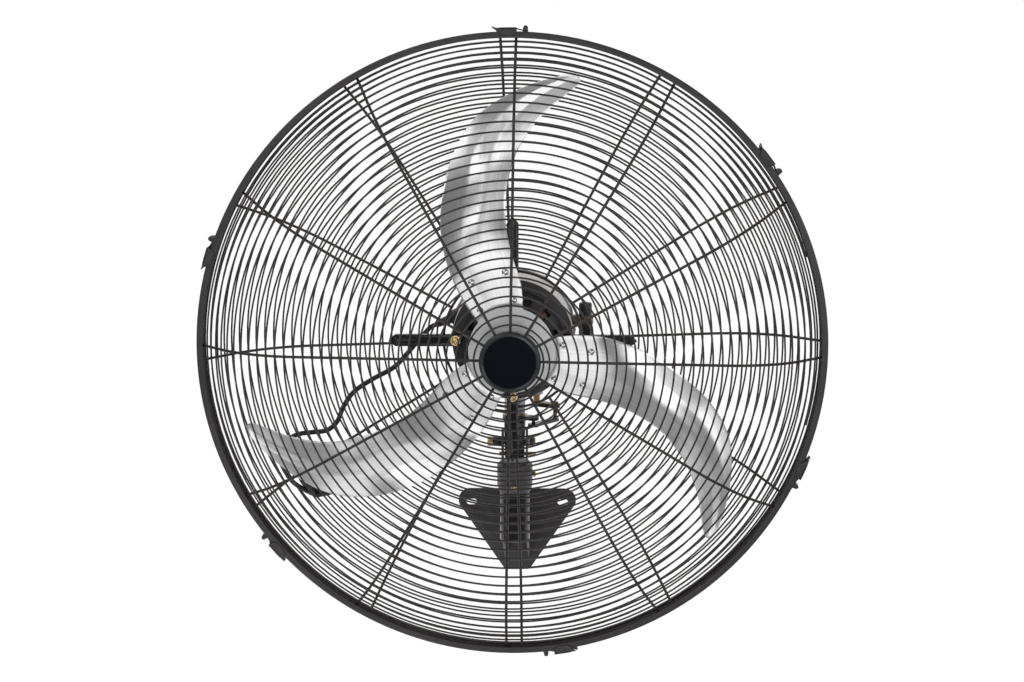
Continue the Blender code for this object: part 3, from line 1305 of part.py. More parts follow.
front_cap()
side_fittings()
cable_gland()
rotating_parts()


# Supply cord, about the fan's centre: points chosen by hand along its route behind the rear guard
cord_route = (
    (-0.1120, 0.1340, 0.0075), (-0.1260, 0.1260, -0.0070), (-0.1420, 0.1140, -0.0250),
    (-0.1600, 0.1040, -0.0425), (-0.1860, 0.0968, -0.0560), (-0.2120, 0.0954, -0.0735),
    (-0.2270, 0.0952, -0.0950), (-0.2350, 0.0952, -0.1140), (-0.2490, 0.0950, -0.1265),
    (-0.2690, 0.0935, -0.1290), (-0.2900, 0.0905, -0.1320), (-0.3070, 0.0890, -0.1450),
    (-0.3120, 0.0890, -0.1640), (-0.3050, 0.0905, -0.1840), (-0.2925, 0.0930, -0.2010),
)
cord_spacing_share = 2.6

# Spare cord: a hank of three loops in two layers, tied flat against the rear guard
hank = {
    "across": -0.2030,
    "up": -0.1715,
    "turn": 11,
    "run": 0.112,
    "inner_half": 0.0200,
    "loops": 3,
    "loop_points": 24,
    "loop_gap": 0.0012,
    "layer_gap": 0.0006,
    "draw_in": 0.0050,
    "tie_width": 0.0036,
    "tie_thickness": 0.0014,
    "tie_slack": 0.0040,
    "tie_along": 0.0010,
}
hank_tail = ((-0.0220, 0.0130, -0.0310), (0.0040, 0.0178, -0.0215), (0.0290, 0.0208, -0.0060))
plug = {
    "start": 0.0480,
    "neck_radius": 0.0052,
    "neck_length": 0.012,
    "body_radius": 0.0175,
    "body_length": 0.034,
    "pin_radius": 0.0024,
    "pin_length": 0.019,
    "pin_spacing": 0.019,
}
hank_front = REAR_DEPTH + wire_corner + CLEARANCE + CORD_DIAMETER / 2
hank_step = CORD_DIAMETER + hank["loop_gap"]
hank_layer = CORD_DIAMETER + hank["layer_gap"]


def smooth_line(points, steps):
    # a smooth curve through the chosen points
    points = [Vector(point) for point in points]
    line = []
    for index in range(len(points) - 1):
        a = points[max(index - 1, 0)]
        b = points[index]
        c = points[index + 1]
        d = points[min(index + 2, len(points) - 1)]
        for step in range(steps):
            t = step / steps
            line.append(((b * 2) + (c - a) * t + (a * 2 - b * 5 + c * 4 - d) * t * t
                         + (b * 3 - a - c * 3 + d) * t * t * t) / 2)
    line.append(points[-1])
    return line


def even_points(line, spacing):
    # the same curve with points at even distances along it
    lengths = [0]
    for a, b in zip(line, line[1:]):
        lengths.append(lengths[-1] + (b - a).length)
    count = max(2, round(lengths[-1] / spacing))
    result = []
    index = 0
    for step in range(count + 1):
        target = lengths[-1] * step / count
        while index < len(line) - 2 and lengths[index + 1] < target:
            index += 1
        part = lengths[index + 1] - lengths[index]
        share = (target - lengths[index]) / part if part else 0
        result.append(line[index].lerp(line[index + 1], share))
    return result


def tube(name, points, resolution, parent=fan_centre):
    curve = bpy.data.curves.new(name, "CURVE")
    curve.dimensions = "3D"
    curve.bevel_depth = CORD_DIAMETER / 2
    curve.bevel_resolution = resolution
    curve.use_fill_caps = True
    spline = curve.splines.new("POLY")
    spline.points.add(len(points) - 1)
    for spot, point in zip(spline.points, points):
        spot.co = (*point, 1)
    curve.materials.append(rubber)
    made = bpy.data.objects.new(name, curve)
    bpy.context.scene.collection.objects.link(made)
    made.parent = parent
    return made


def hank_spot(along, back, lateral):
    # along the hank's runs, back from its first layer, and across the runs
    lean = math.radians(hank["turn"])
    return Vector((hank["across"] + along * math.cos(lean) - lateral * math.sin(lean),
                   hank_front + back,
                   hank["up"] + along * math.sin(lean) + lateral * math.cos(lean)))


def hank_line():
    # the loops spiral in, climb a layer where the spiral turns back, and spiral out again
    half_run = hank["run"] / 2
    middle = hank["loops"] / 2
    points = []
    for step in range(hank["loops"] * hank["loop_points"] + 1):
        turns = step / hank["loop_points"]
        quarter, share = divmod(turns % 1 * 4, 1)
        side = hank["inner_half"] + hank_step * abs(turns - middle)
        climb = min(1, max(0, (turns - middle) * 2 + 0.5))
        back = hank_layer * climb
        if quarter in (0, 2):
            along = half_run * (2 * share - 1)
            lateral = hank["draw_in"] * math.sin(math.pi * share) ** 2 - side
        else:
            swing = math.pi * share - math.pi / 2
            along = half_run + side * math.cos(swing)
            lateral = side * math.sin(swing)
        if quarter > 1:
            along = -along
            lateral = -lateral
        points.append(hank_spot(along, back, lateral))
    return points


def least_gap(points, thickness):
    # the least space between stretches of one tube that aren't neighbours along it
    fine = even_points(points, thickness / 3)
    skip = round(thickness * 2.5 / (fine[1] - fine[0]).length)
    least = min((fine[a] - fine[b]).length for a in range(len(fine))
                for b in range(a + skip, len(fine)))
    return least - thickness


def supply_cord():
    entry = hank_spot(-hank["run"] / 2, 0, -hank["inner_half"] - hank_step * hank["loops"] / 2)
    ahead = (hank_spot(1, 0, 0) - hank_spot(0, 0, 0)).normalized()
    start = gland_tip + gland_axis * CLEARANCE
    ends = [entry - ahead * CORD_DIAMETER * 2, entry - ahead * CORD_DIAMETER,
            entry - ahead * CLEARANCE]
    route = [start, start + gland_axis * CORD_DIAMETER] + [Vector(spot) for spot in cord_route] + ends
    line = even_points(smooth_line(route, 12), CORD_DIAMETER * cord_spacing_share)
    line[1] = start + gland_axis * CORD_DIAMETER
    line[-2] = line[-1] - ahead * CORD_DIAMETER
    tube("supply_cord", line, 2)
    loops = hank_line()
    plug_back = CORD_DIAMETER / 2 + hank_layer + CLEARANCE + plug["body_radius"]
    plug_seat = hank_spot(plug["start"] - CLEARANCE, plug_back, 0)
    tail = [hank_spot(along, back, lateral) for along, back, lateral in hank_tail]
    tail += [plug_seat - ahead * CORD_DIAMETER * 1.5, plug_seat]
    ending = smooth_line([loops[-2], loops[-1]] + tail, 4)
    ending = even_points(ending[4:], CORD_DIAMETER * cord_spacing_share)
    ending[-2] = plug_seat - ahead * CORD_DIAMETER
    whole = loops + ending[1:]
    tube("cord_hank", whole, 1)
    print("least gap of the hank to itself", round(least_gap(whole, CORD_DIAMETER) * 1000, 2), "mm")
    length = sum((b - a).length for a, b in zip(line + whole, line[1:] + whole[:1] + whole[1:]))
    print("cord length", round(length, 3), "m")
    # plug along the hank, resting on its folds
    neck = plug["neck_length"]
    body = neck + plug["body_length"]
    outline = [(0, 0), (plug["neck_radius"], 0), (plug["neck_radius"] * 1.3, neck * 0.9),
               (plug["body_radius"] * 0.8, neck), (plug["body_radius"], neck + neck / 3),
               (plug["body_radius"], body - neck / 6), (plug["body_radius"] - neck / 6, body), (0, body)]
    shape = lathe(outline, PIN_STEPS)
    aim = Vector((0, 1, 0)).rotation_difference(ahead).to_matrix().to_4x4()
    spot = plug_seat + ahead * CLEARANCE
    made = place("mains_plug", shape, plastic_black, fan_centre)
    pins = [shifted(rod(plug["pin_radius"], body - OVERRUN / 4, body + plug["pin_length"], 8),
                    (0, 0, side * plug["pin_spacing"] / 2)) for side in (-1, 1)]
    weld(made, merged(pins), "mains_plug_pins")
    made.location = spot
    made.rotation_euler = aim.to_euler()
    # strap round the hank's waist and the rear guard's wires
    outer_lateral = (hank["inner_half"] + hank_step * hank["loops"] / 2 - hank["draw_in"]
                     + CORD_DIAMETER / 2 + hank["tie_slack"])
    front = -CORD_DIAMETER / 2 - CLEARANCE - wire_corner * 4
    back = hank_layer + CORD_DIAMETER / 2 + CLEARANCE
    thick = hank["tie_thickness"]
    half = hank["tie_width"] / 2

    def loop_outline(grow):
        corner = hank_layer / 2 + grow
        across = outer_lateral + grow
        near = front - grow
        far = back + grow
        rounds = []
        for centre, begin in (((across - corner, near + corner), -90), ((across - corner, far - corner), 0),
                              ((corner - across, far - corner), 90), ((corner - across, near + corner), 180)):
            rounds += arc(centre, corner, begin, begin + 90, 2)
        return rounds

    strap_shape = prism(loop_outline(thick), -half, half, "X")
    hole = prism(loop_outline(0), -half - OVERRUN, half + OVERRUN, "X")
    for shape in (strap_shape, hole):
        # the outline's second axis is the way back, so the strap stands across the runs
        bmesh.ops.transform(shape, matrix=Matrix(((1, 0, 0, 0), (0, 0, 1, 0), (0, 1, 0, 0), (0, 0, 0, 1))),
                            verts=shape.verts)
        bmesh.ops.reverse_faces(shape, faces=shape.faces)
    tie = place("cord_tie", strap_shape, gloss_black, fan_centre, hank_spot(hank["tie_along"], 0, 0),
                (0, -math.radians(hank["turn"]), 0), smooth=False)
    cut(tie, hole, "cord_tie_inside")


supply_cord()
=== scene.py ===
import math

import bmesh
import bpy
from mathutils import Matrix, Vector


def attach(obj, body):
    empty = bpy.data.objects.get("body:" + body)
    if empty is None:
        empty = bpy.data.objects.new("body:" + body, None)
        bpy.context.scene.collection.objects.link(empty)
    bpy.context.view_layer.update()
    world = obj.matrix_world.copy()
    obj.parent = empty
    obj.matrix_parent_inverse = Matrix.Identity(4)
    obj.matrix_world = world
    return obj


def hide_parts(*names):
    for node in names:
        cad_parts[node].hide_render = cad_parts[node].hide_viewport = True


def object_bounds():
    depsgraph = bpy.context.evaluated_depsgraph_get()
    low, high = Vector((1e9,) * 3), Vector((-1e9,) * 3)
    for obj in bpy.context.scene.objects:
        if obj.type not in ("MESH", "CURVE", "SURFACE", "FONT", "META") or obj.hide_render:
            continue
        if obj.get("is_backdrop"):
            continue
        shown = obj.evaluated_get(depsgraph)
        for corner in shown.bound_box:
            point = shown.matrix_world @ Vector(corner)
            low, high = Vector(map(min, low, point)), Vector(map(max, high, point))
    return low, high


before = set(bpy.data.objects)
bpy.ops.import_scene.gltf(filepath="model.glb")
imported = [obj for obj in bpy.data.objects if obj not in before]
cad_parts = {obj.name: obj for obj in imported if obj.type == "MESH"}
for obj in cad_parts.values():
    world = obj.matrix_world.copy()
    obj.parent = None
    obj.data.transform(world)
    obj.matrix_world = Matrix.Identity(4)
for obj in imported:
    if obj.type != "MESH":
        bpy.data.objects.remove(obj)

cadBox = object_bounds()
fanPlace = Vector((0, -0.385, 0.345))  # middle of the rim's plane, the fan blows towards -Y
gap = 0.0003  # between pieces that touch
merge = 1e-6  # corners closer than this become one
print("frame loaded")


def clock(radius, angle, back=0.0):
    # seen from the front: the angle runs clockwise from the top, in degrees
    turn = math.radians(angle)
    return Vector((radius * math.sin(turn), back, radius * math.cos(turn)))


def fanSpot(radius, angle, back=0.0):
    return fanPlace + clock(radius, angle, back)


def pick(values, names):
    return [values[name] for name in names.split()]


# Node graphs, for shaders and Geometry Nodes alike
def spaced(values):
    # Detail_Scale becomes Detail Scale
    return {key.replace("_", " "): value for key, value in values.items()}


def worked(operation, reflected=False):
    def act(one, two):
        pair = (two, one) if reflected else (one, two)
        return one.graph.node("ShaderNodeMath", {"operation": operation}, pair)
    return act


class Socket:
    # a node's output that Python's operators work on
    __add__, __radd__ = worked("ADD"), worked("ADD", True)
    __sub__, __rsub__ = worked("SUBTRACT"), worked("SUBTRACT", True)
    __mul__, __rmul__ = worked("MULTIPLY"), worked("MULTIPLY", True)
    __truediv__, __rtruediv__ = worked("DIVIDE"), worked("DIVIDE", True)
    __gt__, __lt__ = worked("GREATER_THAN"), worked("LESS_THAN")

    def __init__(self, graph, end):
        self.graph = graph
        self.end = end

    def other(self, name):
        return Socket(self.graph, self.end.node.outputs[name])

    def math(self, operation, *others):
        return self.graph.node("ShaderNodeMath", {"operation": operation}, (self, *others))


def setStops(elements, stops):
    while len(elements) < len(stops):
        elements.new(1)
    for element, (spot, tone) in zip(elements, stops):
        element.position = spot
        element.color = (*tone, 1)


class Graph:
    def __init__(self, tree):
        self.tree = tree
        tree.nodes.clear()

    def node(self, kind, settings=None, sockets=(), out=0):
        made = self.tree.nodes.new(kind)
        for key, value in (settings or {}).items():
            if key == "stops":
                setStops(made.color_ramp.elements, value)
            else:
                setattr(made, key, value)
        for key, value in (sockets.items() if isinstance(sockets, dict) else enumerate(sockets)):
            if isinstance(value, Socket):
                self.tree.links.new(value.end, made.inputs[key])
            else:
                made.inputs[key].default_value = value
        return Socket(self, made.outputs[out]) if made.outputs else None

    def mix(self, factor, *tones):
        first, second = [tone if isinstance(tone, Socket) else (*tone, 1) for tone in tones]
        return self.node("ShaderNodeMix", {"data_type": "RGBA"}, {0: factor, 6: first, 7: second}, 2)

    def ramp(self, value, low, high, lowTo=0.0, highTo=1.0):
        return self.node("ShaderNodeMapRange", None, {0: value, 1: low, 2: high, 3: lowTo, 4: highTo})

    def noise(self, where, scale, detail=2.0, roughness=0.5):
        return self.node("ShaderNodeTexNoise", None,
                         {"Vector": where, "Scale": scale, "Detail": detail, "Roughness": roughness})

    def bands(self, where, **values):
        return self.node("ShaderNodeTexWave", {"bands_direction": "Y"}, {"Vector": where, **spaced(values)})

    def stretched(self, where, scale, location=(0, 0, 0)):
        return self.node("ShaderNodeMapping", None, {"Vector": where, "Location": location, "Scale": scale})

    def bump(self, height, strength, distance):
        return self.node("ShaderNodeBump", None,
                         {"Strength": strength, "Distance": distance, "Height": height})


def finishOf(name, paint, ending=None, **fixed):
    # a Principled material: fixed socket values, then the colour, roughness and normal that the paint
    # function gives, and an ending where something comes between the shader and the output
    made = bpy.data.materials.new(name)
    made.use_nodes = True
    graph = Graph(made.node_tree)
    shader = graph.node("ShaderNodeBsdfPrincipled", None, spaced(fixed))
    end = graph.tree.nodes.new("ShaderNodeOutputMaterial")
    graph.tree.links.new((ending(graph, shader) if ending else shader).end, end.inputs[0])
    painted = paint(graph, graph.node("ShaderNodeTexCoord", out="Object"))
    for key, value in zip(("Base Color", "Roughness", "Normal"), painted):
        graph.tree.links.new(value.end, shader.end.node.inputs[key])
    return made


# Finishes
def powderCoat(name, base, worn, roughness, peel=0.25):
    def paint(graph, where):
        cloud = graph.noise(where, 9, 3)
        grain = graph.noise(where, 1500, 2)
        specks = graph.noise(where, 420, 3, 0.6)
        dust = graph.ramp(specks, 0.62, 0.72)
        tone = graph.mix(graph.ramp(cloud, 0.35, 0.65), base, worn)
        return (graph.mix(dust * 0.25, tone, [part * 1.9 for part in worn]),
                graph.ramp(grain + cloud * 0.5, 0.5, 1.0, roughness - 0.06, roughness + 0.08),
                graph.bump(grain + specks * 0.6, peel, 0.0002))
    return finishOf(name, paint, Specular_IOR_Level=0.45)


def mouldedPlastic(name, base, lifted, roughness, shine=0.5):
    def paint(graph, where):
        grain = graph.node("ShaderNodeTexVoronoi", {"feature": "F1"}, {"Vector": where, "Scale": 1900})
        cloud = graph.noise(where, 25, 2)
        scuff = graph.ramp(graph.noise(graph.stretched(where, (1, 1, 6)), 160, 4, 0.7), 0.66, 0.76)
        return (graph.mix(cloud * 0.5 + scuff * 0.15, base, lifted),
                graph.ramp(cloud + scuff, 0.3, 1.1, roughness, roughness + 0.12),
                graph.bump(grain, 0.12, 0.0001))
    return finishOf(name, paint, Specular_IOR_Level=shine)


def platedMetal(name, base, tones, roughness, scale=90):
    # zinc or nickel: cloudy tints that shift over a few millimetres, and fine tool lines
    def paint(graph, where):
        cloud = graph.noise(where, scale, 2)
        lines = graph.noise(graph.stretched(where, (1, 1, 14)), 700, 2)
        hue = graph.node("ShaderNodeValToRGB", {"stops": tuple(zip((0.3, 0.5, 0.7), tones))}, (cloud,))
        return (graph.mix(lines * 0.3, hue, base),
                graph.ramp(lines, 0.3, 0.7, roughness, roughness + 0.14),
                graph.bump(lines, 0.1, 0.0001))
    return finishOf(name, paint, Metallic=1.0)


def castMetal(graph, where):
    skin = graph.noise(where, 650, 4, 0.65)
    cloud = graph.noise(where, 30, 3)
    pits = graph.ramp(graph.noise(where, 1500, 1), 0.68, 0.75)
    return (graph.mix(cloud * 0.7 + pits * 0.3, (0.50, 0.50, 0.51), (0.34, 0.34, 0.355)),
            graph.ramp(skin, 0.3, 0.7, 0.4, 0.58),
            graph.bump(skin - pits, 0.35, 0.0003))


def brushedBlade(graph, where):
    # brushing runs along the blade, so it follows the blade's own map: u along, v across
    along = graph.node("ShaderNodeUVMap", {"uv_map": "blade"})
    brush = graph.noise(graph.stretched(along, (0.12, 60, 1), (0.3, 0.2, 0.37)), 1, 3, 0.6)
    cloud = graph.noise(where, 7, 3)
    tone = graph.mix(graph.ramp(brush, 0.35, 0.65), (0.68, 0.68, 0.685), (0.86, 0.86, 0.865))
    return (graph.mix(cloud * 0.35, tone, (0.78, 0.775, 0.77)),)


def turnedMetal(graph, where):
    # rings of a lathe tool about the fan's axis
    about = graph.stretched(where, (1, 1, 1), tuple(-fanPlace))
    parts = graph.node("ShaderNodeSeparateXYZ", None, (about,))
    radius = (parts * parts + parts.other("Z") * parts.other("Z")).math("SQRT")
    rings = graph.noise(graph.node("ShaderNodeCombineXYZ", None, (radius * 700, 0.0, 0.0)), 1, 2)
    cloud = graph.noise(where, 20, 2)
    return (graph.mix(cloud, (0.86, 0.86, 0.87), (0.94, 0.94, 0.95)),
            graph.ramp(rings, 0.3, 0.7, 0.5, 0.6),
            graph.bump(rings, 0.06, 0.0001))


def rolledShell(graph, where):
    # the bare motor shell: rolled sheet with faint lines round it and a warm tint
    lines = graph.noise(graph.stretched(where, (12, 900, 12)), 1, 3)
    cloud = graph.noise(where, 18, 3)
    rust = graph.ramp(graph.noise(where, 260, 3), 0.66, 0.74)
    tone = graph.mix(cloud, (0.80, 0.76, 0.745), (0.90, 0.865, 0.85))
    return (graph.mix(rust * 0.3, tone, (0.55, 0.47, 0.43)),
            graph.ramp(lines, 0.3, 0.7, 0.3, 0.46),
            graph.bump(lines, 0.15, 0.0001))


def stackedSteel(graph, where):
    layers = graph.bands(where, Scale=320, Distortion=0.4, Detail=1)
    cloud = graph.noise(where, 40, 3)
    return (graph.mix(layers * 0.7 + cloud * 0.3, (0.12, 0.12, 0.13), (0.36, 0.36, 0.38)),
            graph.ramp(cloud, 0.3, 0.7, 0.4, 0.6),
            graph.bump(layers, 0.5, 0.0004))


def woundCopper(graph, where):
    # strands painted near-black as painted shade inside the shield, and the copper's own red only in one
    # patch behind a window of the shield, as painted light where the winding is lit
    strands = graph.bands(where, Scale=260, Distortion=5, Detail=2, Detail_Scale=0.6)
    lacquer = graph.noise(where, 60, 2)
    patch = tuple(fanSpot(0.049, 46, 0.079))
    away = graph.node("ShaderNodeVectorMath", {"operation": "DISTANCE"}, (where, patch), "Value")
    # painted light: the mask where the copper's red shows, behind one window only
    litRedPatch = graph.ramp(away + lacquer * 0.006, 0.009, 0.014, 1.0, 0.0)
    red = graph.mix(strands, (0.16, 0.008, 0.006), (0.42, 0.03, 0.02))
    # painted shade: the windings are made near-black so that the shield's other windows read dark
    shadedStrands = graph.mix(strands, (0.006, 0.005, 0.005), (0.03, 0.014, 0.010))
    return (graph.mix(litRedPatch, shadedStrands, red),
            graph.ramp(lacquer, 0.3, 0.7, 0.22, 0.4),
            graph.bump(strands + lacquer * 0.3, 0.7, 0.0006))


def cordSheath(graph, where):
    grain = graph.noise(where, 1300, 2)
    rub = graph.ramp(graph.noise(where, 45, 3), 0.5, 0.7)
    return (graph.mix(rub * 0.5, (0.018, 0.019, 0.023), (0.045, 0.046, 0.055)),
            graph.ramp(grain + rub * 0.4, 0.4, 1.1, 0.42, 0.62),
            graph.bump(grain, 0.2, 0.0001))


wireCoat = powderCoat("satin_black_wire", (0.034, 0.028, 0.027), (0.052, 0.044, 0.042), 0.3, 0.12)
rimCoat = powderCoat("satin_black_rim", (0.040, 0.036, 0.037), (0.058, 0.053, 0.054), 0.4)
plateCoat = powderCoat("charcoal_plate", (0.040, 0.037, 0.040), (0.062, 0.058, 0.062), 0.5)
castCoat = powderCoat("charcoal_casting", (0.062, 0.062, 0.068), (0.115, 0.114, 0.124), 0.42, 0.5)
postCoat = powderCoat("gloss_black_post", (0.012, 0.012, 0.014), (0.022, 0.022, 0.026), 0.1, 0.04)
shieldCoat = powderCoat("charcoal_shield", (0.030, 0.029, 0.031), (0.048, 0.047, 0.050), 0.42, 0.4)
armCoat = powderCoat("gloss_black_bar", (0.005, 0.005, 0.006), (0.010, 0.010, 0.012), 0.2, 0.1)
neckCoat = powderCoat("gloss_black_neck", (0.008, 0.008, 0.010), (0.016, 0.016, 0.020), 0.16, 0.1)
capFace = mouldedPlastic("cap_face", (0.0028, 0.0034, 0.0066), (0.0060, 0.0072, 0.0125), 0.34, 0.05)
capBezel = mouldedPlastic("cap_bezel", (0.018, 0.020, 0.024), (0.032, 0.035, 0.041), 0.24)
blackPlastic = mouldedPlastic("black_moulding", (0.010, 0.010, 0.012), (0.026, 0.027, 0.031), 0.4)
yellowZinc = platedMetal("yellow_zinc", (0.50, 0.36, 0.18),
                         ((0.30, 0.17, 0.07), (0.78, 0.58, 0.30), (0.52, 0.42, 0.25)), 0.12, 220)
rivetAlloy = platedMetal("rivet_alloy", (0.80, 0.80, 0.81),
                         ((0.70, 0.70, 0.71), (0.86, 0.86, 0.87), (0.78, 0.77, 0.76)), 0.1)
darkZinc = platedMetal("dark_zinc", (0.10, 0.085, 0.06),
                       ((0.05, 0.04, 0.03), (0.16, 0.12, 0.07), (0.09, 0.085, 0.08)), 0.3)
brightSteel = platedMetal("bright_steel", (0.68, 0.68, 0.69),
                          ((0.58, 0.58, 0.60), (0.74, 0.74, 0.75), (0.66, 0.65, 0.64)), 0.24)
sinteredBronze = platedMetal("sintered_bronze", (0.50, 0.33, 0.16),
                             ((0.42, 0.26, 0.11), (0.60, 0.40, 0.19), (0.52, 0.36, 0.18)), 0.36, 300)
castAlloy = finishOf("cast_alloy", castMetal, Metallic=0.85)
bladeAlloy = finishOf("brushed_blade", brushedBlade, Metallic=1.0, Roughness=0.28)
hubAlloy = finishOf("turned_hub", turnedMetal, Metallic=1.0)
shellSteel = finishOf("rolled_shell", rolledShell, Metallic=0.2)
coreSteel = finishOf("stacked_core", stackedSteel, Metallic=0.8)
coilEnamel = finishOf("wound_copper", woundCopper, Metallic=0.2, Coat_Weight=0.4)
cordRubber = finishOf("cord_sheath", cordSheath)
print("finishes made")


# Mesh helpers
def linked(name, data):
    made = bpy.data.objects.new(name, data)
    bpy.context.scene.collection.objects.link(made)
    return made


def settle(made):
    # the modifiers' result becomes the object's own mesh
    depsgraph = bpy.context.evaluated_depsgraph_get()
    ready = bpy.data.meshes.new_from_object(made.evaluated_get(depsgraph))
    made.modifiers.clear()
    made.data = ready


def soften(made, width, segments=2):
    step = made.modifiers.new("edge", "BEVEL")
    step.width = width
    step.segments = segments
    step.limit_method = "ANGLE"
    step.angle_limit = math.radians(30)
    settle(made)


def dress(made, body, takes=()):
    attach(made, body)
    if takes:
        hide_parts(*takes)
    return made


def shade(made, angle):
    made.data.shade_smooth()
    made.data.set_sharp_from_angle(angle=math.radians(angle))


def asMesh(name, shape):
    bmesh.ops.remove_doubles(shape, verts=shape.verts, dist=merge)
    bmesh.ops.recalc_face_normals(shape, faces=shape.faces)
    mesh = bpy.data.meshes.new(name)
    shape.to_mesh(mesh)
    shape.free()
    return mesh


def piece(name, shape, finish, body, takes=(), edge=0.0, segments=2, angle=32):
    made = linked(name, asMesh(name, shape))
    made.data.materials.append(finish)
    if edge:
        soften(made, edge, segments)
    shade(made, angle)
    return dress(made, body, takes)


def together(shapes):
    # several shapes as one
    whole = bmesh.new()
    for shape in shapes:
        mesh = bpy.data.meshes.new("part")
        shape.to_mesh(mesh)
        shape.free()
        whole.from_mesh(mesh)
        bpy.data.meshes.remove(mesh)
    return whole


def moved(shape, place=(0, 0, 0), turn=0.0):
    matrix = Matrix.Translation(place) @ Matrix.Rotation(math.radians(turn), 4, "Y")
    bmesh.ops.transform(shape, matrix=matrix, verts=shape.verts)
    return shape


def aimed(shape, place, direction):
    # turns a shape made along Y to a direction
    turn = Vector((0, 1, 0)).rotation_difference(direction.normalized()).to_matrix().to_4x4()
    bmesh.ops.transform(shape, matrix=Matrix.Translation(place) @ turn, verts=shape.verts)
    return shape


def lathe(outline, steps=96):
    # a closed outline of (radius, place along Y), turned about Y
    shape = bmesh.new()
    rings = []
    for radius, far in outline:
        turns = [math.tau * step / steps for step in range(steps if radius > merge / 10 else 1)]
        rings.append([shape.verts.new((radius * math.cos(turn), far, radius * math.sin(turn)))
                      for turn in turns])
    for one, two in zip(rings, rings[1:] + rings[:1]):
        if len(one) == len(two) == 1:
            continue
        for step in range(steps):
            after = (step + 1) % steps
            corners = ((one, step), (one, after), (two, after), (two, step))
            shape.faces.new(list(dict.fromkeys(ring[place % len(ring)] for ring, place in corners)))
    return shape


def sleeve(inner, outer, low, high, steps=96):
    # a tube along Y, or a disc where the inner radius is nothing
    return lathe([(inner, low), (outer, low), (outer, high), (inner, high)], steps)


def rounded(outline, radius, steps=3):
    # rounds the corners of a flat outline
    result = []
    for index, corner in enumerate(outline):
        here = Vector(corner)
        before = Vector(outline[index - 1]) - here
        after = Vector(outline[(index + 1) % len(outline)]) - here
        room = min(radius, before.length * 0.45, after.length * 0.45)
        first = here + before.normalized() * room
        last = here + after.normalized() * room
        for step in range(steps + 1):
            share = step / steps
            spot = first.lerp(here, share).lerp(here.lerp(last, share), share)
            result.append((spot.x, spot.y))
    return result


def prism(outline, low, high):
    # a flat outline in X and Z, run from low to high along Y
    shape = bmesh.new()
    near, far = [[shape.verts.new((x, y, z)) for x, z in outline] for y in (low, high)]
    shape.faces.new(near)
    shape.faces.new(far[::-1])
    for corners in zip(near, far, far[1:] + far[:1], near[1:] + near[:1]):
        shape.faces.new(corners)
    return shape


def arc(centre, radius, start, stop, steps):
    turns = [math.radians(start + (stop - start) * step / steps) for step in range(steps + 1)]
    return [(centre[0] + radius * math.cos(turn), centre[1] + radius * math.sin(turn)) for turn in turns]


def oblong(halfLow, halfHigh, low, high):
    # four corners: low and high along Z, with their half widths
    return [(-halfLow, low), (halfLow, low), (halfHigh, high), (-halfHigh, high)]


def carved(shape, cutter):
    # the first shape less the second
    blank = linked("blank", asMesh("blank", shape))
    tool = linked("tool", asMesh("tool", cutter))
    step = blank.modifiers.new("carve", "BOOLEAN")
    step.operation = "DIFFERENCE"
    step.solver = "EXACT"
    step.object = tool
    settle(blank)
    result = bmesh.new()
    result.from_mesh(blank.data)
    bpy.data.objects.remove(blank)
    bpy.data.objects.remove(tool)
    return result


# Geometry Nodes: a tree with named inputs, run once and left as a plain mesh
def label(key):
    # firstReach becomes First Reach
    return "".join(" " + mark if mark.isupper() else mark for mark in key).title()


class Recipe(Graph):
    def __init__(self, name, floats, count):
        super().__init__(bpy.data.node_groups.new(name, "GeometryNodeTree"))
        self.tree.interface.new_socket("Geometry", in_out="OUTPUT", socket_type="NodeSocketGeometry")
        kinds = {"geometry": "Geometry", **dict.fromkeys(floats, "Float"), count: "Int", "finish": "Material"}
        for key, kind in kinds.items():
            self.tree.interface.new_socket(label(key), in_out="INPUT", socket_type="NodeSocket" + kind)
        self.start = self.node("NodeGroupInput")

    def __getitem__(self, key):
        return self.start.other(label(key))

    def place(self, across, back, up):
        return self.node("ShaderNodeCombineXYZ", None, (across, back, up))

    def tube(self, curve, radius, sides):
        profile = self.node("GeometryNodeCurvePrimitiveCircle", None, {"Resolution": sides, "Radius": radius})
        return self.node("GeometryNodeCurveToMesh", None,
                         {"Curve": curve, "Profile Curve": profile, "Fill Caps": True})

    def ring(self, shape, count):
        # copies of a shape about the fan's axis, all turned by the roll
        spots = self.node("GeometryNodeMeshLine", None,
                          {"Count": count, "Start Location": tuple(fanPlace), "Offset": (0, 0, 0)})
        turn = self["roll"] + self.node("GeometryNodeInputIndex") * math.tau / count
        return self.node("GeometryNodeInstanceOnPoints", None,
                         {"Points": spots, "Instance": shape, "Rotation": self.place(0.0, turn, 0.0)})

    def joined(self, *shapes):
        made = self.node("GeometryNodeJoinGeometry")
        for shape in shapes:
            self.tree.links.new(shape.end, made.end.node.inputs[0])
        return made

    def finish(self, shape):
        real = self.node("GeometryNodeRealizeInstances", None, (shape,))
        painted = self.node("GeometryNodeSetMaterial", None, {"Geometry": real, "Material": self["finish"]})
        self.node("NodeGroupOutput", None, (painted,))

    def make(self, name, body, slot, values, mesh=None, takes=(), angle=40):
        made = linked(name, mesh or bpy.data.meshes.new(name))
        step = made.modifiers.new("recipe", "NODES")
        step.node_group = self.tree
        named = {label(key): value for key, value in values.items()}
        for item in self.tree.interface.items_tree:
            if item.in_out == "INPUT" and item.name in named:
                step[item.identifier] = named[item.name]
        settle(made)
        made.data.name = name
        shade(made, angle)
        return dress(made, body, takes)


# Camera, where the photograph was taken from: in front, a little above and to the right
view = {"distance": 2.201, "elevation": 10.25, "azimuth": 1.34, "aimAcross": 0.001, "aimUp": 0.013,
        "lens": 60.93, "sensor": 36}


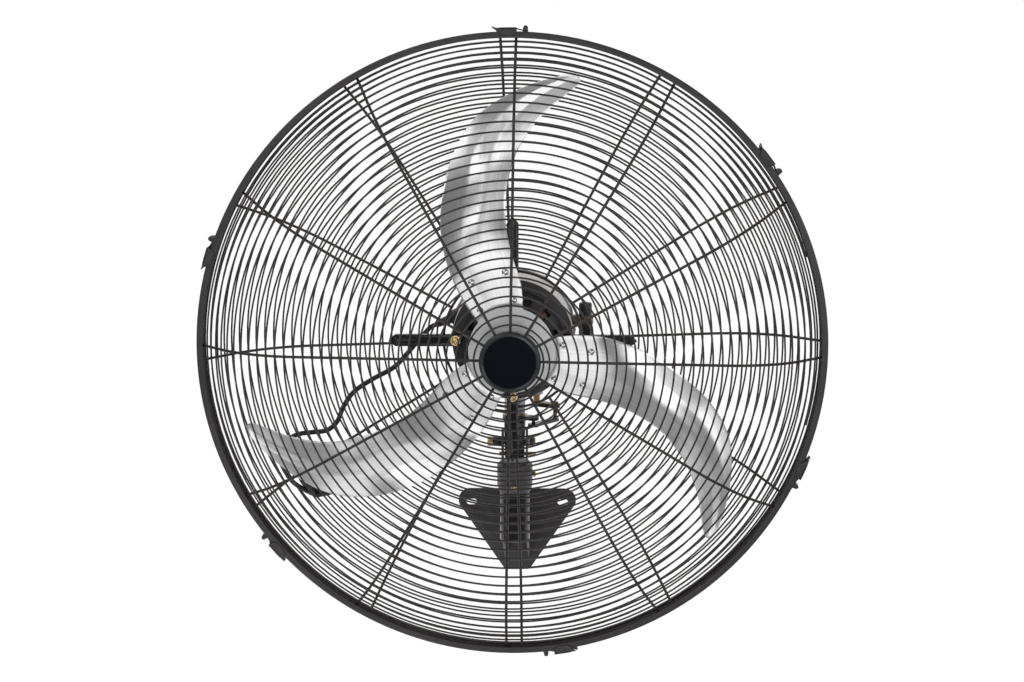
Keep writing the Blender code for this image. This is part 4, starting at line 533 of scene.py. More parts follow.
def makeCamera():
    data = bpy.data.cameras.new("camera")
    data.lens = view["lens"]
    data.sensor_width = view["sensor"]
    camera = linked("camera", data)
    lift = math.radians(view["elevation"])
    swing = math.radians(view["azimuth"])
    stand = Vector((math.sin(swing) * math.cos(lift), -math.cos(swing) * math.cos(lift), math.sin(lift)))
    turn = (-stand).to_track_quat("-Z", "Y")
    shift = turn @ Vector((view["aimAcross"], view["aimUp"], 0))
    camera.location = fanPlace + stand * view["distance"] + shift
    camera.rotation_euler = turn.to_euler()
    bpy.context.scene.camera = camera


makeCamera()


# Supply cord: the route's points about the fan's centre, then a tied hank behind the rear guard
cordValues = {"diameter": 0.0066, "spacing": 0.006, "sheath": 4}
glandValues = {"motorRadius": 0.080, "angle": 286, "back": 0.135, "lean": 38, "nutLength": 0.008,
               "taperLength": 0.020, "flangeRadius": 0.0105, "nutRadius": 0.009, "tipRadius": 0.0048,
               "flareShare": 0.45, "sink": 0.006, "ribs": 5, "ribDeep": 0.0006, "smoothFrom": 0.95,
               "seat": (0.105, 0.17)}
plugValues = {"neck": 0.0052, "neckLength": 0.012, "radius": 0.0175, "long": 0.034, "pin": 0.0024,
              "pinLong": 0.019, "pinSink": 0.001, "spacing": 0.019, "ribs": 6, "ribPitch": 0.0032,
              "rib": ((0, 0), (0.0007, 0.0006), (0.0007, 0.0014), (0, 0.002)), "corner": 0.002,
              "neckFlare": 1.3, "neckShare": 0.9, "shoulderShare": 0.28, "shoulderAt": 1.36, "ribsAt": 1.5}
cordRoute = (
    (-0.1120, 0.1340, 0.0075), (-0.1260, 0.1260, -0.0070), (-0.1420, 0.1140, -0.0250),
    (-0.1600, 0.1040, -0.0425), (-0.1860, 0.0968, -0.0560), (-0.2120, 0.0954, -0.0735),
    (-0.2270, 0.0952, -0.0950), (-0.2350, 0.0952, -0.1140), (-0.2490, 0.0950, -0.1265),
    (-0.2690, 0.0935, -0.1290), (-0.2900, 0.0905, -0.1320), (-0.3070, 0.0890, -0.1450),
    (-0.3120, 0.0890, -0.1640), (-0.3050, 0.0905, -0.1840), (-0.2925, 0.0930, -0.2010),
)
hank = {"across": -0.2030, "up": -0.1715, "front": 0.09216, "turn": 11, "run": 0.112, "innerHalf": 0.0200,
        "loops": 3, "loopPoints": 24, "step": 0.0078, "layer": 0.0072, "drawIn": 0.0050, "plugStart": 0.048,
        "tail": ((-0.0220, 0.0130, -0.0310), (0.0040, 0.0178, -0.0215), (0.0290, 0.0208, -0.0060))}


def smoothLine(points, steps):
    points = [Vector(point) for point in points]
    line = []
    for a, b, c, d in zip(points[:1] + points, points, points[1:], points[2:] + points[-1:]):
        for step in range(steps):
            t = step / steps
            line.append((b * 2 + (c - a) * t + (a * 2 - b * 5 + c * 4 - d) * t * t
                         + (b * 3 - a - c * 3 + d) * t * t * t) / 2)
    line.append(points[-1])
    return line


def evenPoints(line, spacing):
    lengths = [0]
    for a, b in zip(line, line[1:]):
        lengths.append(lengths[-1] + (b - a).length)
    count = max(2, round(lengths[-1] / spacing))
    result = []
    index = 0
    for step in range(count + 1):
        target = lengths[-1] * step / count
        while index < len(line) - 2 and lengths[index + 1] < target:
            index += 1
        part = lengths[index + 1] - lengths[index]
        result.append(line[index].lerp(line[index + 1], (target - lengths[index]) / part if part else 0))
    return result


def hankSpot(along, back, lateral):
    lean = math.radians(hank["turn"])
    return fanPlace + Vector((hank["across"] + along * math.cos(lean) - lateral * math.sin(lean),
                              hank["front"] + back,
                              hank["up"] + along * math.sin(lean) + lateral * math.cos(lean)))


def hankLine():
    # the loops spiral in, climb a layer where the spiral turns back, and spiral out again
    halfRun = hank["run"] / 2
    middle = hank["loops"] / 2
    points = []
    for step in range(hank["loops"] * hank["loopPoints"] + 1):
        turns = step / hank["loopPoints"]
        quarter, share = divmod(turns % 1 * 4, 1)
        side = hank["innerHalf"] + hank["step"] * abs(turns - middle)
        back = hank["layer"] * min(1, max(0, (turns - middle) * 2 + 0.5))
        if quarter in (0, 2):
            along = halfRun * (2 * share - 1)
            lateral = hank["drawIn"] * math.sin(math.pi * share) ** 2 - side
        else:
            swing = math.pi * share - math.pi / 2
            along = halfRun + side * math.cos(swing)
            lateral = side * math.sin(swing)
        if quarter > 1:
            along, lateral = -along, -lateral
        points.append(hankSpot(along, back, lateral))
    return points


glandRoot = fanSpot(glandValues["motorRadius"], glandValues["angle"], glandValues["back"])
glandAim = clock(1, glandValues["angle"] - glandValues["lean"])
glandLong = glandValues["nutLength"] + glandValues["taperLength"]
glandTip = glandRoot + glandAim * glandLong
ahead = (hankSpot(1, 0, 0) - hankSpot(0, 0, 0)).normalized()
plugBack = cordValues["diameter"] / 2 + hank["layer"] + gap + plugValues["radius"]
plugSeat = hankSpot(hank["plugStart"] - gap, plugBack, 0)


def cordLine():
    thick = cordValues["diameter"]
    start = glandTip + glandAim * gap
    entry = hankSpot(-hank["run"] / 2, 0, -hank["innerHalf"] - hank["step"] * hank["loops"] / 2)
    route = [start, start + glandAim * thick] + [fanPlace + Vector(spot) for spot in cordRoute]
    route += [entry - ahead * thick * 2, entry - ahead * thick, entry]
    tail = [hankSpot(*spot) for spot in hank["tail"]] + [plugSeat - ahead * thick * 1.5, plugSeat]
    return evenPoints(smoothLine(route, 12)[:-1] + smoothLine(hankLine() + tail, 6), cordValues["spacing"])


def makeCord():
    line = cordLine()
    curve = bpy.data.curves.new("mains_cord", "CURVE")
    curve.dimensions = "3D"
    curve.bevel_depth = cordValues["diameter"] / 2
    curve.bevel_resolution = cordValues["sheath"]
    curve.use_fill_caps = True
    spline = curve.splines.new("POLY")
    spline.points.add(len(line) - 1)
    for spot, point in zip(spline.points, line):
        spot.co = (*point, 1)
    spline.use_smooth = True
    curve.materials.append(cordRubber)
    length = sum((b - a).length for a, b in zip(line, line[1:]))
    print("cord length", round(length, 3))
    return dress(linked("mains_cord", curve), "head", ("supply_cord", "cord_hank")), length


def makeGland():
    # the strain relief tapers in soft rings
    sink, nut, flange, high = pick(glandValues, "sink nutLength flangeRadius nutRadius")
    tip, taper, flare, ribs, deep, smooth = pick(
        glandValues, "tipRadius taperLength flareShare ribs ribDeep smoothFrom")
    outline = [(0, -sink), (flange, -sink), (flange, nut / 2), (high, nut / 2), (high, nut)]
    for rib in range(ribs * 4 + 1):
        share = rib / (ribs * 4)
        groove = deep if rib % 4 in (2, 3) and share < smooth else 0
        outline.append((tip * (1 + flare * (1 - share)) - groove, nut + taper * share))
    outline.append((0, glandLong))
    body = aimed(lathe(outline, 32), glandRoot, glandAim)
    body = carved(body, moved(sleeve(0, glandValues["motorRadius"] + gap, *glandValues["seat"]), fanPlace))
    piece("strain_relief", body, blackPlastic, "head", ("cable_gland",), edge=0.0003)


def makePlug():
    # two round pins on a moulded body with finger ribs
    neck, neckLong, radius, long, corner = pick(plugValues, "neck neckLength radius long corner")
    thin, pinLong, pinSink, spacing = pick(plugValues, "pin pinLong pinSink spacing")
    end = neckLong + long
    shoulder = radius * plugValues["shoulderShare"]
    outline = [(0, 0), (neck, 0), (neck * plugValues["neckFlare"], neckLong * plugValues["neckShare"])]
    outline += arc((radius - shoulder, neckLong * plugValues["shoulderAt"]), shoulder, -90, 0, 5)
    for rib in range(plugValues["ribs"]):
        low = neckLong * plugValues["ribsAt"] + rib * plugValues["ribPitch"]
        outline += [(radius - deep, low + along) for deep, along in plugValues["rib"]]
    outline += [(radius, end - corner), (radius - corner, end), (0, end)]
    place = plugSeat + ahead * gap
    plug = piece("moulded_plug", aimed(lathe(outline, 48), place, ahead), blackPlastic, "head",
                 ("mains_plug",), edge=0.0003)
    tip = end + pinLong
    pin = [(0, end - pinSink), (thin, end - pinSink), (thin, tip - pinSink)]
    pin += arc((0, tip - thin), thin, 30, 90, 4)[:-1] + [(0, tip)]
    pins = together([moved(lathe(pin, 24), (0, 0, side * spacing / 2)) for side in (-1, 1)])
    return plug, piece("plug_pins", aimed(pins, place, ahead), brightSteel, "head")


cord, cordLength = makeCord()
makeGland()
plug, plugPins = makePlug()
cordValues["diameter"]
print("cord and plug made")


# Guards: spiral wires on twelve spokes each, flat in the middle and bent round to the rim's mouth
frontGuard = {"depth": 0.071, "mouth": 0.0, "faceRadius": 0.266, "toward": -1.0, "roll": math.radians(0.9),
              "firstReach": 0.046, "firstPitch": 0.006, "pitch": 0.0118, "from": -11 / 12, "turns": 31.2,
              "hoopBack": 0.0015, "inner": 0.029, "ringRadius": 0.029}
rearGuard = {"depth": 0.087, "mouth": 0.008, "faceRadius": 0.262, "toward": 1.0, "roll": math.radians(-2),
             "firstReach": 0.091, "firstPitch": 0.012, "pitch": 0.012, "from": 0.5, "turns": 27.3,
             "hoopBack": 0.0065, "inner": 0.0895, "ringRadius": 0.091}
guardShared = {"mouthRadius": 0.390, "hoopRadius": 0.3954, "hoopThickness": 0.0023, "wireRadius": 0.00118,
               "spokeRadius": 0.0018, "spokeInset": 0.0029, "spokes": 12, "segments": 132,
               "bendShare": 0.8, "bendSteps": 16, "endInset": 0.0008, "endLift": 0.004, "finish": wireCoat}
hubPlate = {"radius": 0.033, "front": -0.0695, "back": -0.067}


def bendOf(guard):
    # the bend's angle and radius, from the flat face to the mouth
    rise = guard["depth"] - guard["mouth"]
    run = guardShared["mouthRadius"] - guard["faceRadius"]
    bend = 2 * math.atan2(rise, run)
    return bend, run / math.sin(bend)


def spiralRecipe():
    floats = ("from", "turns", "firstReach", "firstPitch", "pitch", "faceRadius", "depth", "bendRadius",
              "toward", "roll", "wireRadius")
    recipe = Recipe("guard_spiral", floats, "segments")
    count = (recipe["turns"] - recipe["from"]) * recipe["segments"] + 1
    line = recipe.node("GeometryNodeMeshLine", None, {"Count": count})
    turns = recipe["from"] + recipe.node("GeometryNodeInputIndex") / recipe["segments"]
    pitch = recipe["firstPitch"] + (recipe["pitch"] - recipe["firstPitch"]) * (turns > 0)
    reach = recipe["firstReach"] + pitch * turns
    bend = (reach - recipe["faceRadius"]).math("MAXIMUM", 0.0) / recipe["bendRadius"]
    radius = reach.math("MINIMUM", recipe["faceRadius"]) + recipe["bendRadius"] * bend.math("SINE")
    back = recipe["toward"] * (recipe["depth"] - recipe["bendRadius"] * (1 - bend.math("COSINE")))
    turn = recipe["roll"] + turns * math.tau
    spot = recipe.place(radius * turn.math("SINE") + fanPlace.x, back + fanPlace.y,
                        radius * turn.math("COSINE") + fanPlace.z)
    shaped = recipe.node("GeometryNodeSetPosition", None, {"Geometry": line, "Position": spot})
    curve = recipe.node("GeometryNodeMeshToCurve", None, (shaped,))
    recipe.finish(recipe.tube(curve, recipe["wireRadius"], 8))
    return recipe


def spokeRecipe():
    # one spoke comes in as a line about the fan's centre, and is set round it
    floats = ("roll", "spokeRadius", "hoopRadius", "hoopBack", "hoopThickness", "ringRadius", "ringBack")
    recipe = Recipe("guard_spokes", floats, "spokes")
    line = recipe.node("GeometryNodeMeshToCurve", None, (recipe["geometry"],))
    bars = recipe.ring(recipe.tube(line, recipe["spokeRadius"], 10), recipe["spokes"])

    def hoop(radius, back, thick):
        circle = recipe.node("GeometryNodeCurvePrimitiveCircle", None, {"Resolution": 180, "Radius": radius})
        placed = recipe.node("GeometryNodeTransform", None, {
            "Geometry": circle, "Rotation": (math.pi / 2, 0, 0),
            "Translation": recipe.place(fanPlace.x, back + fanPlace.y, fanPlace.z)})
        return recipe.tube(placed, thick, 10)
    outer = hoop(recipe["hoopRadius"], recipe["hoopBack"], recipe["hoopThickness"])
    inner = hoop(recipe["ringRadius"], recipe["ringBack"], recipe["spokeRadius"])
    recipe.finish(recipe.joined(bars, outer, inner))
    return recipe


def spokeLine(guard):
    # side view of one spoke, inside the wires, with its end bent in under the rim
    bend, bendRadius = bendOf(guard)
    inset = guardShared["spokeInset"]
    steps = guardShared["bendSteps"]
    flat = guard["toward"] * (guard["depth"] - inset)
    points = [Vector((0, flat, guard["inner"])), Vector((0, flat, guard["faceRadius"] * 0.6))]
    for step in range(steps + 1):
        turn = bend * guardShared["bendShare"] * step / steps
        radius = guard["faceRadius"] + (bendRadius - inset) * math.sin(turn)
        back = guard["toward"] * (guard["depth"] - bendRadius + (bendRadius - inset) * math.cos(turn))
        points.append(Vector((0, back, radius)))
    end = Vector((0, guard["hoopBack"], guardShared["hoopRadius"] - guardShared["endInset"]))
    last = points[-1]
    lead = (last - points[-2]).normalized() * guardShared["endLift"]
    points += [last.lerp(end, share) + lead * math.sin(math.pi * share) for share in (0.35, 0.7)] + [end]
    mesh = bpy.data.meshes.new("spoke_line")
    mesh.from_pydata(points, [(index, index + 1) for index in range(len(points) - 1)], [])
    return mesh


def makeGuards():
    spirals = spiralRecipe()
    spokes = spokeRecipe()
    for name, guard in (("front", frontGuard), ("rear", rearGuard)):
        values = {**guardShared, **guard, "bendRadius": bendOf(guard)[1],
                  "ringBack": guard["toward"] * (guard["depth"] - guardShared["spokeInset"])}
        spirals.make(name + "_guard_wire", "head", "black_powder_coat", values,
                     takes=(name + "_guard_face_wire", name + "_guard_shoulder_wire"), angle=80)
        spokes.make(name + "_guard_bars", "head", "black_powder_coat", values, spokeLine(guard),
                    (name + "_guard_spokes",), 80)
    plate = sleeve(0, hubPlate["radius"], hubPlate["front"], hubPlate["back"], 64)
    piece("guard_hub_plate", moved(plate, fanPlace), wireCoat, "head", edge=0.0004)


makeGuards()
print("guards made")


# Rim band: a rolled channel over both hoops, with ears and pins for six latch levers
rim = {"radius": 0.400, "lip": 0.392, "front": -0.008, "back": 0.016, "wall": 0.0015, "pinOut": 0.0047,
       "pinRadius": 0.0013, "pinHead": 0.00195, "pinEnds": (-0.0062, -0.0055, 0.0135, 0.0142),
       "earRadius": 0.0028, "earFoot": 0.00364, "ears": (-0.0055, 0.0095), "earThick": 0.004,
       "clips": (2.5, 55.5, 115.5, 173.5, 232.5, 290.7)}
# latch levers: a strip with a lifted tab, and a saddle with pointed cheeks
lever = {"barrel": 0.0030, "long": 0.035, "sheet": 0.0015, "lift": 0.0010, "hump": 0.0021, "tab": 0.006,
         "rise": 0.0022, "saddle": (-0.011, -0.0325), "cheekDeep": 0.0066, "cheekThick": 0.0012,
         "beak": 0.0006, "beakOut": 0.0045, "jaw": 0.0015, "footFar": 0.003, "footNear": 0.004,
         "dot": 0.0019, "dotHigh": 0.0008, "dotSink": 0.0004, "dotIn": 0.0045}
pinCentre = rim["radius"] + rim["pinOut"]


def makeRim():
    wall, lip, radius, front, back, foot = pick(rim, "wall lip radius front back earFoot")
    thin, wide = pick(rim, "pinRadius pinHead")
    outline = [(lip, front), (radius, front), (radius, back), (lip, back), (lip, back - wall),
               (radius - wall, back - wall), (radius - wall, front + wall), (lip, front + wall)]
    shape = moved(lathe(rounded(outline, wall * 0.8, 3), 180), fanPlace)
    piece("rim_channel", shape, rimCoat, "head", ("rim_band",), angle=40)
    base = radius - wall / 2
    plan = [(-foot, base), (foot, base)] + arc((0, pinCentre), rim["earRadius"], 0, 180, 12)
    first, neckFrom, neckTo, last = rim["pinEnds"]
    pin = [(0, first), (wide, first), (wide, neckFrom), (thin, neckFrom), (thin, neckTo), (wide, neckTo),
           (wide, last), (0, last)]
    ears = [moved(prism(plan, low, low + rim["earThick"]), fanPlace, angle)
            for angle in rim["clips"] for low in rim["ears"]]
    pins = [moved(lathe(pin, 20), fanSpot(pinCentre, angle)) for angle in rim["clips"]]
    piece("clip_ears", together(ears), rimCoat, "head", edge=0.0005)
    piece("clip_pins", together(pins), rimCoat, "head", edge=0.0002)


def rimSpot(radius, along):
    # a spot beside a pin, in the lever's own X and Z
    turn = along / rim["radius"]
    return (radius * math.sin(turn), radius * math.cos(turn) - pinCentre)


def leverPlans():
    # each lever lies along the rim, counter-clockwise of its pin
    long, tab, hump, sheet, tabRise, deep = pick(lever, "long tab hump sheet rise cheekDeep")
    inside, steps = rim["radius"] + lever["lift"], 14
    rise = [hump * min(1, max(0, (step - 2) / 3)) for step in range(steps + 1)]
    rise += [hump + tabRise * (step / 5) ** 1.4 for step in range(1, 6)]
    reach = [-long * step / steps for step in range(steps + 1)]
    reach += [-long - tab * step / 5 for step in range(1, 6)]
    under = [rimSpot(inside + up, along) for up, along in zip(rise, reach)]
    over = [rimSpot(inside + up + sheet, along) for up, along in zip(rise, reach)]
    near, far = lever["saddle"]
    stops = [near + (far - near) * step / 8 for step in range(9)]
    back = inside + hump
    top = [rimSpot(back + sheet * 0.2, along) for along in stops]
    top += [rimSpot(back + sheet * 1.2, along) for along in stops[::-1]]
    beak = [(back + tabRise * 0.6, -long - tab * 0.7), (back + tabRise, -long - tab),
            (back - lever["beak"], far - lever["beakOut"]), (inside - deep * 0.35, far - lever["jaw"]),
            (inside - deep, far + lever["footFar"]), (inside - deep, near - lever["footNear"]),
            (inside - deep * 0.3, near)]
    cheek = [rimSpot(back + sheet, along) for along in stops] + [rimSpot(*spot) for spot in beak]
    return under + over[::-1], top, cheek, rimSpot(inside - deep * 0.35, near - lever["dotIn"])


def makeLevers():
    strip, top, cheek, (dotAcross, dotUp) = leverPlans()
    low = rim["ears"][0] + rim["earThick"] + gap * 2
    high = rim["ears"][1] - gap * 2
    front, rear, thick = rim["front"] - gap, rim["back"] + gap, lever["cheekThick"]
    for number, angle in enumerate(rim["clips"], 1):
        parts = [prism(strip, low, high), sleeve(rim["pinRadius"] + gap, lever["barrel"], low, high, 28),
                 prism(top, front - thick, rear + thick), prism(cheek, front - thick, front),
                 prism(cheek, rear, rear + thick)]
        for side in (front - thick - lever["dotSink"], rear + thick - lever["dotSink"]):
            dot = sleeve(0, lever["dot"], side, side + lever["dotHigh"], 20)
            parts.append(moved(dot, (dotAcross, 0, dotUp)))
        shape = moved(together(parts), fanSpot(pinCentre, angle), angle)
        piece("latch_lever_" + str(number), shape, rimCoat, "clip_" + str(number),
              ("latch_clip_" + str(number),), edge=0.0003)


makeRim()
makeLevers()
print("rim and levers made")


# Rotor: three swept blades riveted to a spider, about the fan's axis
blade = {
    "tip": 0.3715, "depth": 0.028, "sheet": 0.0018, "seat": 0.0027, "rows": 64, "columns": 32,
    "tipCrowding": 1.25, "creases": (0.36, 0.62), "soft": 0.06, "steep": 1.45,
    "reach": (0.156, 0.23, 0.315, 0.40, 0.49, 0.59, 0.70, 0.807, 0.886, 0.934, 0.952, 0.959),
    "frontAngle": (-48, -43.9, -39.2, -34.1, -28.8, -22.6, -16.1, -8.2, 1.3, 8.2, 10.9, 12.1),
    "rearAngle": (14.5, 8.4, 1.3, -2.0, -2.4, -0.9, 2.4, 7.4, 11.8, 14.0, 13.9, 12.9),
    "frontPlace": (0, 0, -0.05, -0.4, -0.75, -0.9, -0.57, -0.28, -0.08, 0, 0, 0),
    "rearPlace": (0, 0, 0, 0.08, 0.25, 0.25, 0.1, 0.05, 0, 0, 0, 0),
    "camber": (0, 0, 0, 0.08, 0.13, 0.15, 0.15, 0.12, 0.08, 0.03, 0, 0),
}
hub = {"disc": 0.055, "front": 0.003, "back": 0.006, "boss": 0.015, "bossLong": 0.026, "bossSink": 0.001,
       "armAngle": -17, "armEnd": 0.113, "armHalf": 0.030, "armCorner": 0.0084, "hole": 0.0083,
       "nutFlats": 0.019, "nutHigh": 0.009, "nutBore": 0.0082, "cut": 0.05, "rivetAcross": 0.0223,
       "rivetReach": (0.0615, 0.099), "rivetRadius": 0.0044, "rivetRise": 0.0024, "rivetSink": 0.0006}


def between(places, values, place):
    # a smooth curve through the listed values
    index = max(0, min(len(places) - 2, sum(1 for spot in places if spot <= place) - 1))
    slopes = []
    for here in (index, index + 1):
        before = max(here - 1, 0)
        after = min(here + 1, len(places) - 1)
        slopes.append((values[after] - values[before]) / (places[after] - places[before]))
    run = places[index + 1] - places[index]
    t = (place - places[index]) / run
    return ((2 * t ** 3 - 3 * t ** 2 + 1) * values[index] + (t ** 3 - 2 * t ** 2 + t) * run * slopes[0]
            + (3 * t ** 2 - 2 * t ** 3) * values[index + 1] + (t ** 3 - t ** 2) * run * slopes[1])


def creased(share):
    # three lengthwise bands: a falling one, a level one and a rising one, with soft folds between
    first, second = blade["creases"]
    soft = blade["soft"]

    def ease(value):
        part = max(0.0, min(1.0, value))
        return part * part * (3 - 2 * part)

    def rise(upTo, steps=24):
        total = 0
        for step in range(steps):
            here = upTo * (step + 0.5) / steps
            down = 1 - ease((here - first + soft) / (2 * soft))
            up = ease((here - second + soft) / (2 * soft))
            total += (down / first - up / (1 - second)) * upTo / steps
        return total
    return rise(share) - rise(1.0) * share


def bladeSheet(turn):
    shape = bmesh.new()
    layer = shape.loops.layers.uv.new("blade")
    first, last = blade["reach"][0], blade["reach"][-1]
    rows = []
    for row in range(blade["rows"] + 1):
        reach = first + (last - first) * (1 - (1 - row / blade["rows"]) ** blade["tipCrowding"])
        frontAngle, rearAngle, frontPlace, rearPlace, camber = [
            between(blade["reach"], blade[key], reach)
            for key in ("frontAngle", "rearAngle", "frontPlace", "rearPlace", "camber")]
        line = []
        for column in range(blade["columns"] + 1):
            share = column / blade["columns"]
            angle = frontAngle + (rearAngle - frontAngle) * share + turn
            back = frontPlace + (rearPlace - frontPlace) * share + camber * blade["steep"] * creased(share)
            rear = blade["seat"] + blade["depth"] * back
            spots = [shape.verts.new(fanSpot(blade["tip"] * reach, angle, place))
                     for place in (rear - blade["sheet"], rear)]
            line.append((*spots, (reach * blade["tip"] / 0.1, share)))
        rows.append(line)
    for one, two in zip(rows, rows[1:]):
        for corners in zip(one, one[1:], two[1:], two):
            for side in (0, 1):
                face = shape.faces.new([corner[side] for corner in corners])
                for loop, corner in zip(face.loops, corners):
                    loop[layer].uv = corner[2]
        for here, after in ((one[0], two[0]), (one[-1], two[-1])):
            shape.faces.new((here[0], after[0], after[1], here[1]))
    for line in (rows[0], rows[-1]):
        for here, after in zip(line, line[1:]):
            shape.faces.new((here[0], after[0], after[1], here[1]))
    return shape


def copiesRecipe():
    # whatever comes in is set several times round the fan's axis
    recipe = Recipe("ring_of_copies", ("roll",), "copies")
    recipe.finish(recipe.ring(recipe["geometry"], recipe["copies"]))
    return recipe


ringOfCopies = copiesRecipe()


def ringed(name, body, slot, mesh, finish, copies, roll=0.0, takes=(), angle=32):
    values = {"copies": copies, "roll": roll, "finish": finish}
    ringOfCopies.make(name, body, slot, values, mesh, takes, angle)


def dome(radius, low, rise, flank=1.0, turns=(0.3, 0.6, 0.9, 1.2), edgeShare=0.15):
    # the outline of a low round head that faces the front, from its edge to its middle
    return [(radius * flank * math.cos(turn), low - rise * (edgeShare + (1 - edgeShare) * math.sin(turn)))
            for turn in turns] + [(0, low - rise)]


def spiderPlan():
    # three arms with round corners, and the disc's edge between them
    half, end, soft, disc = pick(hub, "armHalf armEnd armCorner disc")
    root = math.sqrt(disc ** 2 - half ** 2)
    swing = math.degrees(math.asin(half / disc))
    flank = [(-half, root), (-half, end - soft), *arc((soft - half, end - soft), soft, 180, 90, 5),
             *arc((half - soft, end - soft), soft, 90, 0, 5), (half, root)]
    plan = []
    for arm in range(3):
        angle = hub["armAngle"] + 120 * arm
        turn = math.radians(angle)
        plan += [(x * math.cos(turn) + z * math.sin(turn), z * math.cos(turn) - x * math.sin(turn))
                 for x, z in flank]
        edge = [clock(disc, angle + swing + (120 - 2 * swing) * step / 12) for step in range(1, 12)]
        plan += [(spot.x, spot.z) for spot in edge]
    return plan


def makeRotor():
    for number in range(1, 4):
        piece("swept_blade_" + str(number), bladeSheet(120 * (number - 1)), bladeAlloy, "rotor",
              ("blade_" + str(number),), edge=0.0004, angle=50)
    cut, hole, front, back = pick(hub, "cut hole front back")
    radius, rise, sink = pick(hub, "rivetRadius rivetRise rivetSink")
    spider = carved(prism(spiderPlan(), front, back), sleeve(0, hole, -cut, cut, 48))
    boss = sleeve(hole, hub["boss"], back - hub["bossSink"], back + hub["bossLong"], 64)
    piece("spider_plate", moved(together([spider, boss]), fanPlace), hubAlloy, "rotor",
          ("hub_spider",), edge=0.0006)
    head = [(0, sink), (radius, sink), (radius, -rise * 0.15), *dome(radius, 0, rise)]
    rivets = [moved(lathe(head, 28), (side * hub["rivetAcross"], blade["seat"] - blade["sheet"], reach))
              for reach in hub["rivetReach"] for side in (-1, 1)]
    ringed("blade_rivets", "rotor", "brushed_aluminium", asMesh("rivets", together(rivets)), rivetAlloy, 3,
           math.radians(hub["armAngle"]), angle=50)
    hexagon = arc((0, 0), hub["nutFlats"] / math.sqrt(3), 0, 300, 5)
    nut = prism(hexagon, front - gap - hub["nutHigh"], front - gap)
    nut = carved(nut, sleeve(0, hub["nutBore"], -cut, cut, 32))
    piece("shaft_nut", moved(nut, fanPlace), brightSteel, "rotor", ("hub_nut",), edge=0.0006)


makeRotor()
print("rotor made")


# Motor: a vented front shield, the bare shell and four guard arms
motor = {"wall": 0.0027, "face": 0.072, "dome": 0.0655, "flange": 0.08253, "shellRadius": 0.0803,
         "shellFront": 0.0016, "shellBack": 0.170, "shellInner": 0.0775, "shellEdge": 0.0008, "hole": 0.0095,
         "windows": 12, "windowFirst": 20, "windowIn": 0.049, "windowOut": 0.061, "windowHalf": 0.0055,
         "windowSoft": 0.0022, "windowCut": 0.004, "grooveRadius": 0.0635, "grooveWide": 0.0012,
         "grooveDeep": 0.0008, "trim": 0.0796, "trimSoft": 0.0012, "seams": (0.0965, 0.104, 0.158),
         "seamWide": 0.0009, "seamDeep": 0.0008,
         "step": ((0.0155, 0), (0.0163, -0.0012), (0.0225, -0.0012), (0.0235, 0)),
         "foot": ((0, -0.0014), (0.0004, -0.0004), (0.0014, 0))}
guardArm = {"half": 0.00775, "thick": 0.008, "start": 0.068, "end": 0.1635, "point": 0.009, "soft": 0.0012,
            "grooveHalf": 0.00275, "grooveDeep": 0.003, "grooveStart": 0.084, "grooveEnd": 0.153,
            "screwAt": 0.075, "edge": 0.0010}
screw = {"washer": 0.0066, "washerThick": 0.0013, "head": 0.0050, "headHigh": 0.0032, "sink": 0.0012,
         "crossHalf": 0.00325, "crossWide": 0.00085, "crossDeep": 0.0022, "crossTurn": 20, "crossOut": 0.001,
         "crossLess": 0.00018}
beyond = 0.01  # how far a cutting shape stands out in front


def phillips():
    # a pan head on its washer, face to the front, seat at zero
    washer, thick, head, high, sink = pick(screw, "washer washerThick head headHigh sink")
    half, wide, deep, out, step = pick(screw, "crossHalf crossWide crossDeep crossOut crossLess")
    top = -thick - high
    outline = [(0, sink), (washer, sink), (washer, -thick), (head, -thick), (head, -thick - high * 0.55)]
    shape = lathe(outline + dome(head, -thick, high, 0.96, (0.35, 0.75, 1.15), 0.55), 40)
    # the second bar is a little less deep, so that no two cut faces lie together
    for turn, less in ((0, 0), (90, step)):
        bar = prism(oblong(half, half, -wide, wide), top - out, top + deep - less)
        shape = carved(shape, moved(bar, turn=turn + screw["crossTurn"]))
    return shape


def makeShield():
    wall, face, flange, trim, soft, high, hole = pick(motor, "wall face flange trim trimSoft dome hole")
    groove, wide, deep, half = pick(motor, "grooveRadius grooveWide grooveDeep windowHalf")
    inner = high - wall
    outline = [(hole, face), *[(radius, face + step) for radius, step in motor["step"]],
               (groove - wide, face), (groove - wide * 0.5, face + deep), (groove, face + deep * 0.4),
               *arc((inner, face + wall), wall, -70, 0, 5),
               *[(high + out, flange + step) for out, step in motor["foot"]],
               *arc((trim - soft, flange + soft), soft, -90, 0, 4), (trim, flange + wall),
               (inner, flange + wall), (inner, face + wall), (hole, face + wall)]
    plan = rounded(oblong(half, half * 1.05, motor["windowIn"], motor["windowOut"]), motor["windowSoft"], 4)
    holes = [moved(prism(plan, face - beyond, face + wall + motor["windowCut"]),
                   turn=motor["windowFirst"] + 360 * window / motor["windows"])
             for window in range(motor["windows"])]
    shell = carved(lathe(outline, 144), together(holes))
    piece("vented_shield", moved(shell, fanPlace), shieldCoat, "head",
          ("motor_front_shield",), edge=0.0004)


def makeShell():
    # a bare rolled band behind the painted shield, with thin pressed seams
    inner, radius, edge, back, wide, deep = pick(
        motor, "shellInner shellRadius shellEdge shellBack seamWide seamDeep")
    front = motor["flange"] + motor["shellFront"]
    outline = [(inner, front), (radius - edge, front), (radius, front + edge)]
    for seam in motor["seams"]:
        outline += [(radius, seam - wide), (radius - deep, seam - wide / 2),
                    (radius - deep, seam + wide / 2), (radius, seam + wide)]
    outline += [(radius, back), (inner, back)]
    piece("rolled_shell", moved(lathe(outline, 144), fanPlace), shellSteel, "head",
          ("motor_shell",), angle=50)


